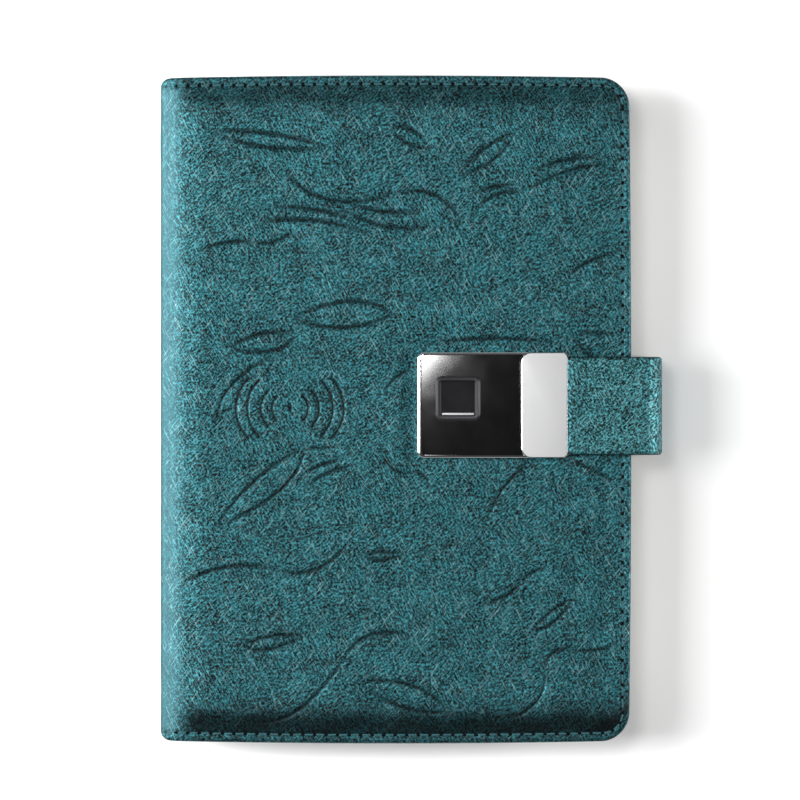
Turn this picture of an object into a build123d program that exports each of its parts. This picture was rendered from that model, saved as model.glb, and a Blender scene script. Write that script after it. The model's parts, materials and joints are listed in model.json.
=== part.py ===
from build123d import *
import os

os.makedirs("parts", exist_ok=True)

# A5 organiser with a fingerprint lock and a wireless power bank, closed, lying on its back cover.
# X runs from the spine (-X) to the fore edge (+X), Y up the cover, Z up from the table.

# ---- driving dimensions, mm ----
cover_width = 165.0  # spine face to fore edge
cover_height = 232.0
strap_reach = 11.0  # how far the strap stands out past the fore edge
fore_corner_radius = 10.0
spine_corner_radius = 2.5
leather_thickness = 1.2
board_thickness = 2.0
lining_thickness = 0.8
foam_thickness = 2.6
inner_height = 25.0  # between the two linings
rest_gap = 0.3  # between bodies that turn past each other
seat_gap = 0.1  # between a piece and the pocket it sits in
lining_inset = 0.6

# ---- covers ----
spine_x = -(cover_width + strap_reach) / 2
fore_x = spine_x + cover_width
half_height = cover_height / 2
back_thickness = leather_thickness + board_thickness + lining_thickness
front_thickness = back_thickness + foam_thickness
front_inner_z = back_thickness + inner_height
front_board_z = front_inner_z + lining_thickness
front_foam_z = front_board_z + board_thickness
front_leather_z = front_foam_z + foam_thickness
front_top_z = front_leather_z + leather_thickness
spine_inner_x = spine_x + back_thickness

# the folds: each is a roll of leather about its axis, as thick as the cover that it carries
lower_fold_radius = back_thickness / 2
lower_fold_x = spine_x + lower_fold_radius
lower_fold_z = lower_fold_radius
upper_fold_radius = front_thickness / 2
upper_fold_x = spine_x + upper_fold_radius
upper_fold_z = front_top_z - upper_fold_radius
back_left_x = lower_fold_x + lower_fold_radius + rest_gap
front_left_x = upper_fold_x + upper_fold_radius + rest_gap
spine_bottom_z = back_thickness + rest_gap
spine_top_z = front_inner_z - rest_gap


def block(x_min, x_max, y_min, y_max, z_min, z_max, mode=Mode.ADD):
    """A box between its lowest and highest corners, added to the part being built."""
    with Locations(((x_min + x_max) / 2, (y_min + y_max) / 2, (z_min + z_max) / 2)):
        Box(x_max - x_min, y_max - y_min, z_max - z_min, mode=mode)


def upright(x, y, z_min, z_max, radius, mode=Mode.ADD):
    """A cylinder along Z."""
    with Locations((x, y, (z_min + z_max) / 2)):
        Cylinder(radius, z_max - z_min, mode=mode)


def along_y(x, z, y_min, y_max, radius, mode=Mode.ADD):
    """A cylinder along Y."""
    with Locations((x, (y_min + y_max) / 2, z)):
        Cylinder(radius, y_max - y_min, rotation=(90, 0, 0), mode=mode)


def along_x(y, z, x_min, x_max, radius, mode=Mode.ADD):
    """A cylinder along X."""
    with Locations(((x_min + x_max) / 2, y, z)):
        Cylinder(radius, x_max - x_min, rotation=(0, 90, 0), mode=mode)


def cover_outline(left_x, inset, z):
    """A cover's outline at height z: square at the spine side, rounded at the fore edge."""
    right_x = fore_x - inset
    half = half_height - inset
    with BuildSketch(Plane.XY.offset(z)) as outline:
        with Locations(((left_x + right_x) / 2, 0)):
            Rectangle(right_x - left_x, 2 * half)
        fore_corners = outline.vertices().group_by(Axis.X)[-1]
        fillet(fore_corners, fore_corner_radius - inset)
    return outline.sketch


def rounded_sketch(x_min, x_max, y_min, y_max, radius, z):
    """A rectangle with rounded corners at height z."""
    with BuildSketch(Plane.XY.offset(z)) as outline:
        with Locations(((x_min + x_max) / 2, (y_min + y_max) / 2)):
            RectangleRounded(x_max - x_min, y_max - y_min, radius)
    return outline.sketch


# ---- lock and clip, on the front cover ----
lock_left = 90.1  # from the spine face
lock_length = 53.1
lock_width = 36.8
lock_center_y = 1.5
lock_corner_radius = 1.6
lock_deck_height = 2.2  # of the low deck under the clip, above the leather
lock_face_height = 4.3
bezel_height = 4.4
bezel_side = 1.3
bezel_rail = 0.85
face_length = 35.2
face_thickness = 1.3
lock_wall = 1.0
sunk_margin = 2.4  # the sunk body is this much smaller than the flange
sensor_left = 6.35  # from the lock's left end to the sensor ring
sensor_size = 15.6
window_size = 11.8
sensor_rise = 2.35  # the sensor sits this much above the lock's middle
sensor_step = 0.5
lock_screw_radius = 1.0
lock_backplate_thickness = 0.8

lock_x0 = spine_x + lock_left
lock_x1 = lock_x0 + lock_length
lock_y0 = lock_center_y - lock_width / 2
lock_y1 = lock_center_y + lock_width / 2
deck_z = front_top_z + lock_deck_height
face_z = front_top_z + lock_face_height
bezel_z = front_top_z + bezel_height
face_x0 = lock_x0 + bezel_side
face_x1 = face_x0 + face_length
sunk_x0 = lock_x0 + sunk_margin
sunk_x1 = lock_x1 - sunk_margin
sunk_y0 = lock_y0 + sunk_margin
sunk_y1 = lock_y1 - sunk_margin
sunk_z = front_board_z

clip_length = 16.1
clip_overhang = 0.8  # the clip stops this far short of the lock's right end
clip_plate_thickness = 2.1
clip_back_thickness = 0.9
tongue_thickness = 1.3
clip_inset = 0.8
clip_corner_radius = 3.0
striker_thickness = 1.6
striker_width = 10.0
striker_depth = 4.8
striker_back = 7.4  # from the clip's right end to the striker
striker_run = 4.6  # room for the striker to swing out towards the fore edge
clip_rivet_radius = 1.1

clip_x1 = lock_x1 - clip_overhang
clip_x0 = clip_x1 - clip_length
clip_back_z = deck_z + rest_gap
tongue_z = clip_back_z + clip_back_thickness
clip_plate_z = tongue_z + tongue_thickness
clip_top_z = clip_plate_z + clip_plate_thickness
striker_x1 = clip_x1 - striker_back
striker_x0 = striker_x1 - striker_thickness
striker_z = clip_back_z - striker_depth

# ---- wireless coil in the front cover ----
coil_from_spine = 45.5
coil_center_y = 0.35
coil_radius = 22.0
coil_inner_radius = 9.0
coil_thickness = 1.0
ferrite_thickness = 0.6
ferrite_margin = 1.0
coil_x = spine_x + coil_from_spine
ferrite_radius = coil_radius + ferrite_margin

# ---- back cover ----
back_board_z = leather_thickness
back_lining_z = back_board_z + board_thickness

with BuildPart() as back_leather:
    extrude(cover_outline(back_left_x, 0, 0), amount=back_lining_z)
    pocket = cover_outline(back_left_x, leather_thickness, back_board_z)
    extrude(pocket, amount=board_thickness, mode=Mode.SUBTRACT)
back_leather.part.label = "back_cover_leather"
export_step(back_leather.part, "parts/back_cover_leather.step")

rail_center_from_spine = 13.7
rail_end_margin = 24.0  # from the cover's end to the blades' ends
rivet_from_blade_end = 8.0
rivet_radius = 1.6
rivet_head_radius = 2.8
rivet_head_height = 0.9
rivet_seat = 0.02  # between a rivet, pin or screw and its hole
pillar_wall = 0.4
pillar_radius = rivet_radius + pillar_wall
rail_center_x = spine_x + rail_center_from_spine
blade_half_length = half_height - rail_end_margin
rivet_y = blade_half_length - rivet_from_blade_end

with BuildPart() as back_board:
    board_face = cover_outline(back_left_x, leather_thickness + seat_gap, back_board_z)
    extrude(board_face, amount=board_thickness)
    for side in (-1, 1):
        upright(rail_center_x, side * rivet_y, back_board_z, back_lining_z, rivet_radius, Mode.SUBTRACT)
back_board.part.label = "back_cover_board"
export_step(back_board.part, "parts/back_cover_board.step")

with BuildPart() as back_lining:
    extrude(cover_outline(back_left_x, lining_inset, back_lining_z), amount=lining_thickness)
    for side in (-1, 1):
        upright(rail_center_x, side * rivet_y, back_lining_z, back_thickness, rivet_radius, Mode.SUBTRACT)
back_lining.part.label = "back_cover_lining"
export_step(back_lining.part, "parts/back_cover_lining.step")

with BuildPart() as lower_fold:
    along_y(lower_fold_x, lower_fold_z, -half_height, half_height, lower_fold_radius)
    block(lower_fold_x, back_left_x, -half_height, half_height, 0, leather_thickness)
lower_fold.part.label = "lower_fold_leather"
export_step(lower_fold.part, "parts/lower_fold_leather.step")

# ---- document pocket sewn on the back lining ----
pocket_from_rail = 13.0
pocket_fore_margin = 5.0
pocket_end_margin = 16.0
pocket_left_x = rail_center_x + pocket_from_rail
pocket_right_x = fore_x - pocket_fore_margin
pocket_half_height = half_height - pocket_end_margin
pocket_depth = 2.1
pocket_leather = 1.3
pocket_seam = 3.0
pocket_panel_z = back_thickness + pocket_depth
pocket_top_z = pocket_panel_z + pocket_leather

with BuildPart() as document_pocket:
    block(pocket_left_x, pocket_right_x, -pocket_half_height, pocket_half_height,
          back_thickness, pocket_top_z)
    # the mouth is on the fore edge side
    block(pocket_left_x + pocket_seam, pocket_right_x, -pocket_half_height + pocket_seam,
          pocket_half_height - pocket_seam, back_thickness, pocket_panel_z, Mode.SUBTRACT)
document_pocket.part.label = "document_pocket"
export_step(document_pocket.part, "parts/document_pocket.step")

# ---- ring mechanism on the back lining ----
rail_width = 14.0
rail_sheet = 0.8
rail_side_height = 3.6
rail_arch = 1.8
blade_thickness = 1.0
blade_middle_height = 2.2  # of the blades' middle plane above the lining
blade_gap = 0.3
blade_bead_radius = 0.55  # the rolled outer edge that a blade turns on
blade_notch = 0.8  # between a blade and the rivet's pillar
ring_radius = 1.2  # of the wire
ring_top_height = 20.0  # of the wire's middle line above the lining
ring_bend = 5.0
foot_bend = 1.6
ring_split_from_rail = 4.0
left_leg_from_rail = -4.9
right_leg_from_rail = 10.9
foot_from_rail = 4.2
ring_slot = 4.0
slot_side = 0.5  # clear room beside the wire in its slot
slot_under = 0.8
hole_pitches = (35.0, 54.0, 73.0)  # from the middle of the sheet
ring_positions = [side * y for side in (-1, 1) for y in hole_pitches]

rail_x0 = rail_center_x - rail_width / 2
rail_x1 = rail_center_x + rail_width / 2
rail_side_z = back_thickness + rail_side_height
rail_top_z = rail_side_z + rail_arch
blade_z = back_thickness + blade_middle_height
left_pivot_x = rail_x0 + rail_sheet + blade_gap + blade_bead_radius
right_pivot_x = rail_x1 - rail_sheet - blade_gap - blade_bead_radius
ring_top_z = back_thickness + ring_top_height
left_leg_x = rail_center_x + left_leg_from_rail
right_leg_x = rail_center_x + right_leg_from_rail
ring_split_x = rail_center_x + ring_split_from_rail

lever_from_blades = 6.0
lever_length = 12.0
lever_axis_y = blade_half_length + lever_from_blades
lever_axis_z = blade_z
lever_pin_radius = 0.8
pin_seat = 0.01
pin_running = 0.06
lever_barrel_radius = 1.4
lever_half_width = 4.0
tongue_half_width = 1.2
lever_tongue = 0.6
lever_tip_y = lever_axis_y + lever_length
lever_tip_height = 5.0
lever_root_half = 1.0  # half the arm's depth at its barrel
lever_tip_depth = 1.2
tongue_reach = 3.0  # under the blades
rail_past_lever = 2.0
rail_half_length = lever_axis_y + rail_past_lever


def rail_profile(y, inset):
    """The rail's section: upright sides under a shallow arch, at a distance y along the rail."""
    half_width = rail_width / 2 - inset
    with BuildSketch(Plane.XZ.offset(-y)) as profile:
        with BuildLine():
            Line((rail_center_x - half_width, back_thickness), (rail_center_x + half_width, back_thickness))
            Line((rail_center_x + half_width, back_thickness), (rail_center_x + half_width, rail_side_z - inset))
            ThreePointArc(
                (rail_center_x + half_width, rail_side_z - inset),
                (rail_center_x, rail_top_z - inset),
                (rail_center_x - half_width, rail_side_z - inset),
            )
            Line((rail_center_x - half_width, rail_side_z - inset), (rail_center_x - half_width, back_thickness))
        make_face()
    return profile.sketch


with BuildPart() as ring_rail:
    extrude(rail_profile(-rail_half_length, 0), amount=-2 * rail_half_length)
    extrude(rail_profile(-rail_half_length, rail_sheet), amount=-2 * rail_half_length, mode=Mode.SUBTRACT)
    for side in (-1, 1):
        # the pillar that each rivet clamps, between the blades' notches
        upright(rail_center_x, side * rivet_y, back_thickness, rail_top_z - rail_sheet / 2, pillar_radius)
        upright(rail_center_x, side * rivet_y, back_thickness, rail_top_z, rivet_radius, Mode.SUBTRACT)
        along_x(side * lever_axis_y, lever_axis_z, rail_x0, rail_x1, lever_pin_radius, Mode.SUBTRACT)
    slot_half = ring_radius + slot_side
    slot_z = blade_z - ring_radius - slot_under
    for y in ring_positions:
        block(rail_x0 - 1, rail_x0 + ring_slot, y - slot_half, y + slot_half, slot_z, rail_top_z, Mode.SUBTRACT)
        block(rail_x1 - ring_slot, rail_x1 + 1, y - slot_half, y + slot_half, slot_z, rail_top_z, Mode.SUBTRACT)
ring_rail.part.label = "ring_rail"
export_step(ring_rail.part, "parts/ring_rail.step")


def blade(x_min, x_max):
    """One toggle blade, with a notch beside each rivet pillar."""
    block(x_min, x_max, -blade_half_length, blade_half_length,
          blade_z - blade_thickness / 2, blade_z + blade_thickness / 2)
    for side in (-1, 1):
        upright(rail_center_x, side * rivet_y, blade_z - blade_thickness, blade_z + blade_thickness,
                pillar_radius + blade_notch, Mode.SUBTRACT)


def left_ring_path(y):
    """The middle line of a left half ring: up its leg and over to the split."""
    points = [(left_leg_x, y, blade_z), (left_leg_x, y, ring_top_z), (ring_split_x, y, ring_top_z)]
    return FilletPolyline(*points, radius=ring_bend)


def right_ring_path(y):
    """The middle line of a right half ring: out of the rail, up its straight leg and back to the split."""
    points = [
        (rail_center_x + foot_from_rail, y, blade_z),
        (right_leg_x, y, blade_z),
        (right_leg_x, y, ring_top_z),
        (ring_split_x + seat_gap, y, ring_top_z),
    ]
    return FilletPolyline(*points, radius=[foot_bend, ring_bend])


with BuildPart() as ring_left:
    blade(left_pivot_x, rail_center_x - blade_gap / 2)
    along_y(left_pivot_x, blade_z, -blade_half_length, blade_half_length, blade_bead_radius)
    for y in ring_positions:
        with BuildLine() as path:
            left_ring_path(y)
        with BuildSketch(Plane(origin=(left_leg_x, y, blade_z), z_dir=(0, 0, 1))):
            Circle(ring_radius)
        sweep(path=path.line)
ring_left.part.label = "ring_left_half"
export_step(ring_left.part, "parts/ring_left_half.step")

with BuildPart() as ring_right:
    blade(rail_center_x + blade_gap / 2, right_pivot_x)
    along_y(right_pivot_x, blade_z, -blade_half_length, blade_half_length, blade_bead_radius)
    for y in ring_positions:
        with BuildLine() as path:
            right_ring_path(y)
        with BuildSketch(Plane(origin=(rail_center_x + foot_from_rail, y, blade_z), z_dir=(1, 0, 0))):
            Circle(ring_radius)
        sweep(path=path.line)
ring_right.part.label = "ring_right_half"
export_step(ring_right.part, "parts/ring_right_half.step")

with BuildPart() as rail_rivets:
    for side in (-1, 1):
        upright(rail_center_x, side * rivet_y, back_board_z, rail_top_z, rivet_radius - rivet_seat)
        upright(rail_center_x, side * rivet_y, rail_top_z, rail_top_z + rivet_head_height, rivet_head_radius)
rail_rivets.part.label = "rail_rivets"
export_step(rail_rivets.part, "parts/rail_rivets.step")


def lever_arm(side):
    """The lever's side view: from its barrel out and up to the thumb tip."""
    tip_z = back_thickness + lever_tip_height
    with BuildSketch(Plane.YZ.offset(rail_center_x - lever_half_width)) as arm:
        with BuildLine():
            Polyline(
                (side * lever_axis_y, lever_axis_z - lever_root_half),
                (side * lever_tip_y, tip_z - lever_tip_depth),
                (side * lever_tip_y, tip_z),
                (side * lever_axis_y, lever_axis_z + lever_root_half),
                close=True,
            )
        make_face()
    return arm.sketch


def lever(side):
    """A thumb lever at one end of the rail, with its tongue under the ends of the blades."""
    left = rail_center_x - lever_half_width
    right = rail_center_x + lever_half_width
    along_x(side * lever_axis_y, lever_axis_z, left, right, lever_barrel_radius)
    extrude(lever_arm(side), amount=2 * lever_half_width)
    tongue_y = sorted((side * (blade_half_length - tongue_reach), side * lever_axis_y))
    tongue_z0 = back_thickness + rest_gap
    block(rail_center_x - tongue_half_width, rail_center_x + tongue_half_width, *tongue_y,
          tongue_z0, tongue_z0 + lever_tongue)
    along_x(side * lever_axis_y, lever_axis_z, rail_x0, rail_x1, lever_pin_radius + pin_running, Mode.SUBTRACT)


with BuildPart() as lever_top:
    lever(1)
lever_top.part.label = "ring_lever_top"
export_step(lever_top.part, "parts/ring_lever_top.step")

with BuildPart() as lever_bottom:
    lever(-1)
lever_bottom.part.label = "ring_lever_bottom"
export_step(lever_bottom.part, "parts/ring_lever_bottom.step")

with BuildPart() as lever_pins:
    for side in (-1, 1):
        along_x(side * lever_axis_y, lever_axis_z, rail_x0, rail_x1, lever_pin_radius - pin_seat)
lever_pins.part.label = "lever_pins"
export_step(lever_pins.part, "parts/lever_pins.step")

# ---- pages ----
page_hole_radius = 3.0
page_hole_from_leg = 1.4
page_margin = 4.5
page_end_margin = 12.0
page_right_inset = 4.5
page_corner_radius = 4.0
page_stack = 12.0
divider_thickness = 0.6
divider_tab = 2.0
page_half_height = half_height - page_end_margin
page_z = pocket_top_z + rest_gap
page_top_z = page_z + page_stack
divider_top_z = page_top_z + divider_thickness
page_hole_x = right_leg_x + page_hole_from_leg
page_x0 = page_hole_x - page_margin
page_x1 = fore_x - page_right_inset


def sheet(x_max, z_min, z_max):
    """A sheet or a stack of them, punched for the six rings."""
    outline = rounded_sketch(page_x0, x_max, -page_half_height, page_half_height, page_corner_radius, z_min)
    extrude(outline, amount=z_max - z_min)
    for y in ring_positions:
        upright(page_hole_x, y, z_min, z_max, page_hole_radius, Mode.SUBTRACT)


with BuildPart() as page_block:
    sheet(page_x1, page_z, page_top_z)
page_block.part.label = "page_block"
export_step(page_block.part, "parts/page_block.step")

with BuildPart() as divider:
    sheet(page_x1 + divider_tab, page_top_z, divider_top_z)
divider.part.label = "divider_ruler"
export_step(divider.part, "parts/divider_ruler.step")

# ---- spine ----
with BuildPart() as spine_leather:
    block(spine_x, spine_inner_x - lining_thickness, -half_height, half_height, spine_bottom_z, spine_top_z)
    outer_edges = spine_leather.edges().filter_by(Axis.Z).group_by(Axis.X)[0]
    fillet(outer_edges, spine_corner_radius)
    block(spine_x + leather_thickness, spine_inner_x, -half_height + leather_thickness,
          half_height - leather_thickness, spine_bottom_z, spine_top_z, Mode.SUBTRACT)
spine_leather.part.label = "spine_leather"
export_step(spine_leather.part, "parts/spine_leather.step")

with BuildPart() as spine_board:
    block(spine_x + leather_thickness, spine_inner_x - lining_thickness,
          -half_height + leather_thickness + seat_gap, half_height - leather_thickness - seat_gap,
          spine_bottom_z, spine_top_z)
spine_board.part.label = "spine_board"
export_step(spine_board.part, "parts/spine_board.step")

with BuildPart() as spine_lining:
    block(spine_inner_x - lining_thickness, spine_inner_x, -half_height + lining_inset,
          half_height - lining_inset, spine_bottom_z, spine_top_z)
spine_lining.part.label = "spine_lining"
export_step(spine_lining.part, "parts/spine_lining.step")

with BuildPart() as upper_fold:
    along_y(upper_fold_x, upper_fold_z, -half_height, half_height, upper_fold_radius)
    block(spine_x, spine_x + leather_thickness, -half_height, half_height, spine_top_z, upper_fold_z)
upper_fold.part.label = "upper_fold_leather"
export_step(upper_fold.part, "parts/upper_fold_leather.step")

# ---- front cover ----
lock_hole = (sunk_x0 - rest_gap, sunk_x1 + rest_gap, sunk_y0 - rest_gap, sunk_y1 + rest_gap)
screw_inset = 3.2
screw_spots = [(x, y) for x in (sunk_x0 + screw_inset, sunk_x1 - screw_inset)
               for y in (sunk_y0 + screw_inset, sunk_y1 - screw_inset)]
coil_z = front_leather_z - coil_thickness
ferrite_z = coil_z - ferrite_thickness

with BuildPart() as front_leather:
    extrude(cover_outline(front_left_x, 0, front_board_z), amount=front_top_z - front_board_z)
    pocket = cover_outline(front_left_x, leather_thickness, front_board_z)
    extrude(pocket, amount=front_leather_z - front_board_z, mode=Mode.SUBTRACT)
    block(*lock_hole, front_board_z, front_top_z, Mode.SUBTRACT)
front_leather.part.label = "front_cover_leather"
export_step(front_leather.part, "parts/front_cover_leather.step")

with BuildPart() as front_foam:
    foam_face = cover_outline(front_left_x, leather_thickness + seat_gap, front_foam_z)
    extrude(foam_face, amount=foam_thickness)
    block(*lock_hole, front_foam_z, front_leather_z, Mode.SUBTRACT)
    upright(coil_x, coil_center_y, ferrite_z, front_leather_z, ferrite_radius + seat_gap, Mode.SUBTRACT)
front_foam.part.label = "front_cover_foam"
export_step(front_foam.part, "parts/front_cover_foam.step")

with BuildPart() as front_board:
    board_face = cover_outline(front_left_x, leather_thickness + seat_gap, front_board_z)
    extrude(board_face, amount=board_thickness)
    block(*lock_hole, front_board_z, front_foam_z, Mode.SUBTRACT)
front_board.part.label = "front_cover_board"
export_step(front_board.part, "parts/front_cover_board.step")

with BuildPart() as front_lining:
    extrude(cover_outline(front_left_x, lining_inset, front_inner_z), amount=lining_thickness)
    for x, y in screw_spots:
        upright(x, y, front_inner_z, front_board_z, lock_screw_radius + seat_gap, Mode.SUBTRACT)
front_lining.part.label = "front_cover_lining"
export_step(front_lining.part, "parts/front_cover_lining.step")

with BuildPart() as coil:
    upright(coil_x, coil_center_y, coil_z, front_leather_z, coil_radius)
    upright(coil_x, coil_center_y, coil_z, front_leather_z, coil_inner_radius, Mode.SUBTRACT)
coil.part.label = "charging_coil"
export_step(coil.part, "parts/charging_coil.step")

with BuildPart() as ferrite:
    upright(coil_x, coil_center_y, ferrite_z, coil_z, ferrite_radius)
ferrite.part.label = "coil_ferrite"
export_step(ferrite.part, "parts/coil_ferrite.step")

# ---- card pockets on the front lining, beside the power bank ----
bank_width = 50.0
bank_left_from_spine = 38.0
bank_x0 = spine_x + bank_left_from_spine
bank_x1 = bank_x0 + bank_width
card_pocket_bank_gap = 9.0
card_pocket_y = 26.0
card_pocket_height = 78.0
card_step = 12.0
card_leather = 0.8
card_pocket_right_inset = 6.0
card_x1 = fore_x - card_pocket_right_inset
card_x0 = bank_x1 + card_pocket_bank_gap


def pocket_layers(bottom_y):
    """Three stepped card slots, each panel lower and nearer to the reader than the last."""
    for layer in range(3):
        top_y = bottom_y + card_pocket_height - layer * card_step
        outer_z = front_inner_z - layer * card_leather
        block(card_x0, card_x1, bottom_y, top_y, outer_z - card_leather, outer_z)


with BuildPart() as card_pockets:
    pocket_layers(card_pocket_y)
card_pockets.part.label = "card_pockets"
export_step(card_pockets.part, "parts/card_pockets.step")

with BuildPart() as memo_pocket:
    pocket_layers(-card_pocket_y - card_pocket_height)
memo_pocket.part.label = "memo_pockets"
export_step(memo_pocket.part, "parts/memo_pockets.step")

# ---- power bank on the front lining ----
bank_half_length = 72.0
bank_depth = 8.2
bank_wall = 1.2
bank_lid = 1.0
bank_corner_radius = 4.0
cell_half_width = 20.0
cell_end_gap = 5.5
cell_depth = 4.6
cell_gap = 1.0
bank_board_length = 22.0
bank_board_thickness = 1.0
bank_button_radius = 2.6
bank_button_travel = 0.5
bank_button_from_end = 15.2
bank_button_offset = 9.0  # from the bank's middle towards the spine
led_offset = 2.0
led_count = 4
button_flange = 1.0
button_gap = 0.2
switch_inset = 0.4
switch_length = 3.4
led_radius = 0.7
led_pitch = 4.0
usb_out = (13.0, 4.6)  # the shell of the output socket, wide and high
usb_in = (8.0, 2.6)
usb_length = 12.0
usb_wall = 0.3
usb_out_offset = 10.0
usb_in_offset = 9.0
bank_screw_radius = 0.8
bank_screw_inset = 3.6
bank_screw_end = 1.0  # the screws stop this far under the case

bank_x = (bank_x0 + bank_x1) / 2
bank_z0 = front_inner_z - bank_depth
bank_inner_z = bank_z0 + bank_lid
bank_ceiling_z = front_inner_z - bank_wall
bank_board_y1 = bank_half_length - bank_wall - seat_gap
bank_board_y0 = bank_board_y1 - bank_board_length
bank_board_z1 = bank_ceiling_z
bank_board_z0 = bank_board_z1 - bank_board_thickness
bank_button_x = bank_x - bank_button_offset
bank_button_y = bank_half_length - bank_button_from_end
led_spots = [(bank_x + led_offset + n * led_pitch, bank_button_y) for n in range(led_count)]
usb_out_x = bank_x + usb_out_offset
usb_in_x = bank_x - usb_in_offset
usb_top_z = bank_board_z0
bank_screw_spots = [(bank_x + sx * (bank_width / 2 - bank_screw_inset),
                     sy * (bank_half_length - bank_screw_inset)) for sx in (-1, 1) for sy in (-1, 1)]

with BuildPart() as bank_case:
    outline = rounded_sketch(bank_x0, bank_x1, -bank_half_length, bank_half_length, bank_corner_radius,
                             bank_inner_z)
    extrude(outline, amount=front_inner_z - bank_inner_z)
    block(bank_x0 + bank_wall, bank_x1 - bank_wall, -bank_half_length + bank_wall,
          bank_half_length - bank_wall, bank_inner_z, bank_ceiling_z, Mode.SUBTRACT)
    for x, y in bank_screw_spots:
        upright(x, y, bank_inner_z, bank_ceiling_z, 2 * bank_screw_radius)
        upright(x, y, bank_inner_z, bank_ceiling_z, bank_screw_radius, Mode.SUBTRACT)
    for socket_x, (width, height) in ((usb_out_x, usb_out), (usb_in_x, usb_in)):
        block(socket_x - width / 2 - seat_gap, socket_x + width / 2 + seat_gap, bank_board_y1,
              bank_half_length, usb_top_z - height - seat_gap, usb_top_z, Mode.SUBTRACT)
bank_case.part.label = "bank_case"
export_step(bank_case.part, "parts/bank_case.step")

with BuildPart() as bank_cover:
    outline = rounded_sketch(bank_x0, bank_x1, -bank_half_length, bank_half_length, bank_corner_radius, bank_z0)
    extrude(outline, amount=bank_lid)
    for x, y in bank_screw_spots:
        upright(x, y, bank_z0, bank_inner_z, bank_screw_radius, Mode.SUBTRACT)
    for x, y in led_spots:
        upright(x, y, bank_z0, bank_inner_z, led_radius + seat_gap, Mode.SUBTRACT)
    upright(bank_button_x, bank_button_y, bank_z0, bank_inner_z, bank_button_radius + rest_gap, Mode.SUBTRACT)
bank_cover.part.label = "bank_cover"
export_step(bank_cover.part, "parts/bank_cover.step")

with BuildPart() as bank_cells:
    cell_y1 = bank_board_y0 - cell_gap
    cell_y0 = -bank_half_length + bank_wall + cell_end_gap
    cell_length = (cell_y1 - cell_y0 - cell_gap) / 2
    for n in range(2):
        top_y = cell_y1 - n * (cell_length + cell_gap)
        block(bank_x - cell_half_width, bank_x + cell_half_width, top_y - cell_length, top_y,
              bank_ceiling_z - cell_depth, bank_ceiling_z)
bank_cells.part.label = "bank_cells"
export_step(bank_cells.part, "parts/bank_cells.step")

with BuildPart() as bank_board:
    block(bank_x0 + bank_wall + seat_gap, bank_x1 - bank_wall - seat_gap, bank_board_y0, bank_board_y1,
          bank_board_z0, bank_board_z1)
    for x, y in bank_screw_spots:
        upright(x, y, bank_board_z0, bank_board_z1, 2 * bank_screw_radius + seat_gap, Mode.SUBTRACT)
bank_board.part.label = "bank_circuit_board"
export_step(bank_board.part, "parts/bank_circuit_board.step")

bank_switch_z = bank_board_z0 - switch_length
with BuildPart() as bank_switch:
    upright(bank_button_x, bank_button_y, bank_switch_z, bank_board_z0, bank_button_radius - switch_inset)
bank_switch.part.label = "bank_switch"
export_step(bank_switch.part, "parts/bank_switch.step")

button_flange_z = bank_inner_z + seat_gap
with BuildPart() as bank_button:
    upright(bank_button_x, bank_button_y, bank_z0, button_flange_z, bank_button_radius)
    # the flange that keeps it inside the lid
    upright(bank_button_x, bank_button_y, button_flange_z, bank_switch_z - bank_button_travel - button_gap,
            bank_button_radius + button_flange)
bank_button.part.label = "bank_button"
export_step(bank_button.part, "parts/bank_button.step")

with BuildPart() as bank_lights:
    for x, y in led_spots:
        upright(x, y, bank_z0, bank_board_z0, led_radius)
bank_lights.part.label = "bank_lights"
export_step(bank_lights.part, "parts/bank_lights.step")

with BuildPart() as bank_sockets:
    for socket_x, (width, height) in ((usb_out_x, usb_out), (usb_in_x, usb_in)):
        back_y = bank_half_length - usb_length
        block(socket_x - width / 2, socket_x + width / 2, back_y, bank_half_length,
              usb_top_z - height, usb_top_z)
        block(socket_x - width / 2 + usb_wall, socket_x + width / 2 - usb_wall, back_y + usb_wall,
              bank_half_length, usb_top_z - height + usb_wall, usb_top_z - usb_wall, Mode.SUBTRACT)
bank_sockets.part.label = "bank_usb_sockets"
export_step(bank_sockets.part, "parts/bank_usb_sockets.step")

with BuildPart() as bank_screws:
    for x, y in bank_screw_spots:
        upright(x, y, bank_z0, bank_ceiling_z - bank_screw_end, bank_screw_radius - rivet_seat)
bank_screws.part.label = "bank_screws"
export_step(bank_screws.part, "parts/bank_screws.step")

# ---- fingerprint lock ----
face_bottom_z = face_z - face_thickness
base_x0 = lock_x0 + bezel_side + seat_gap
base_x1 = lock_x1 - bezel_rail - seat_gap
base_y0 = lock_y0 + bezel_rail + seat_gap
base_y1 = lock_y1 - bezel_rail - seat_gap
cavity_x0 = sunk_x0 + lock_wall
cavity_x1 = face_x1 - lock_wall
cavity_y0 = sunk_y0 + lock_wall
cavity_y1 = sunk_y1 - lock_wall
cavity_z = sunk_z + lock_wall
slot_x0 = striker_x0 - rest_gap - seat_gap
slot_x1 = striker_x1 + striker_run
slot_half = striker_width / 2 + rest_gap

bolt_drop = 0.8  # of the bolt's middle plane below the leather
bolt_z = front_top_z - bolt_drop
bolt_width = 5.0
bolt_thickness = 1.2
bolt_travel = 2.2
bolt_gap = 0.15
nut_length = 5.4
nut_width = 6.0
nut_height = 3.4
nut_clear = 0.5
screw_radius = 0.9
screw_running = 0.06
nut_running = 0.1
screw_past_nut = 1.5
motor_from_nut = 3.0
saddle_inset = 1.0
motor_radius = 2.8
motor_length = 10.0
shaft_seat = 2.0
bolt_x1 = slot_x0 - rest_gap
nut_x1 = cavity_x1 - bolt_travel - nut_clear
nut_x0 = nut_x1 - nut_length
screw_x1 = nut_x1 + screw_past_nut
motor_x1 = nut_x0 - motor_from_nut
motor_x0 = motor_x1 - motor_length

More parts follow.
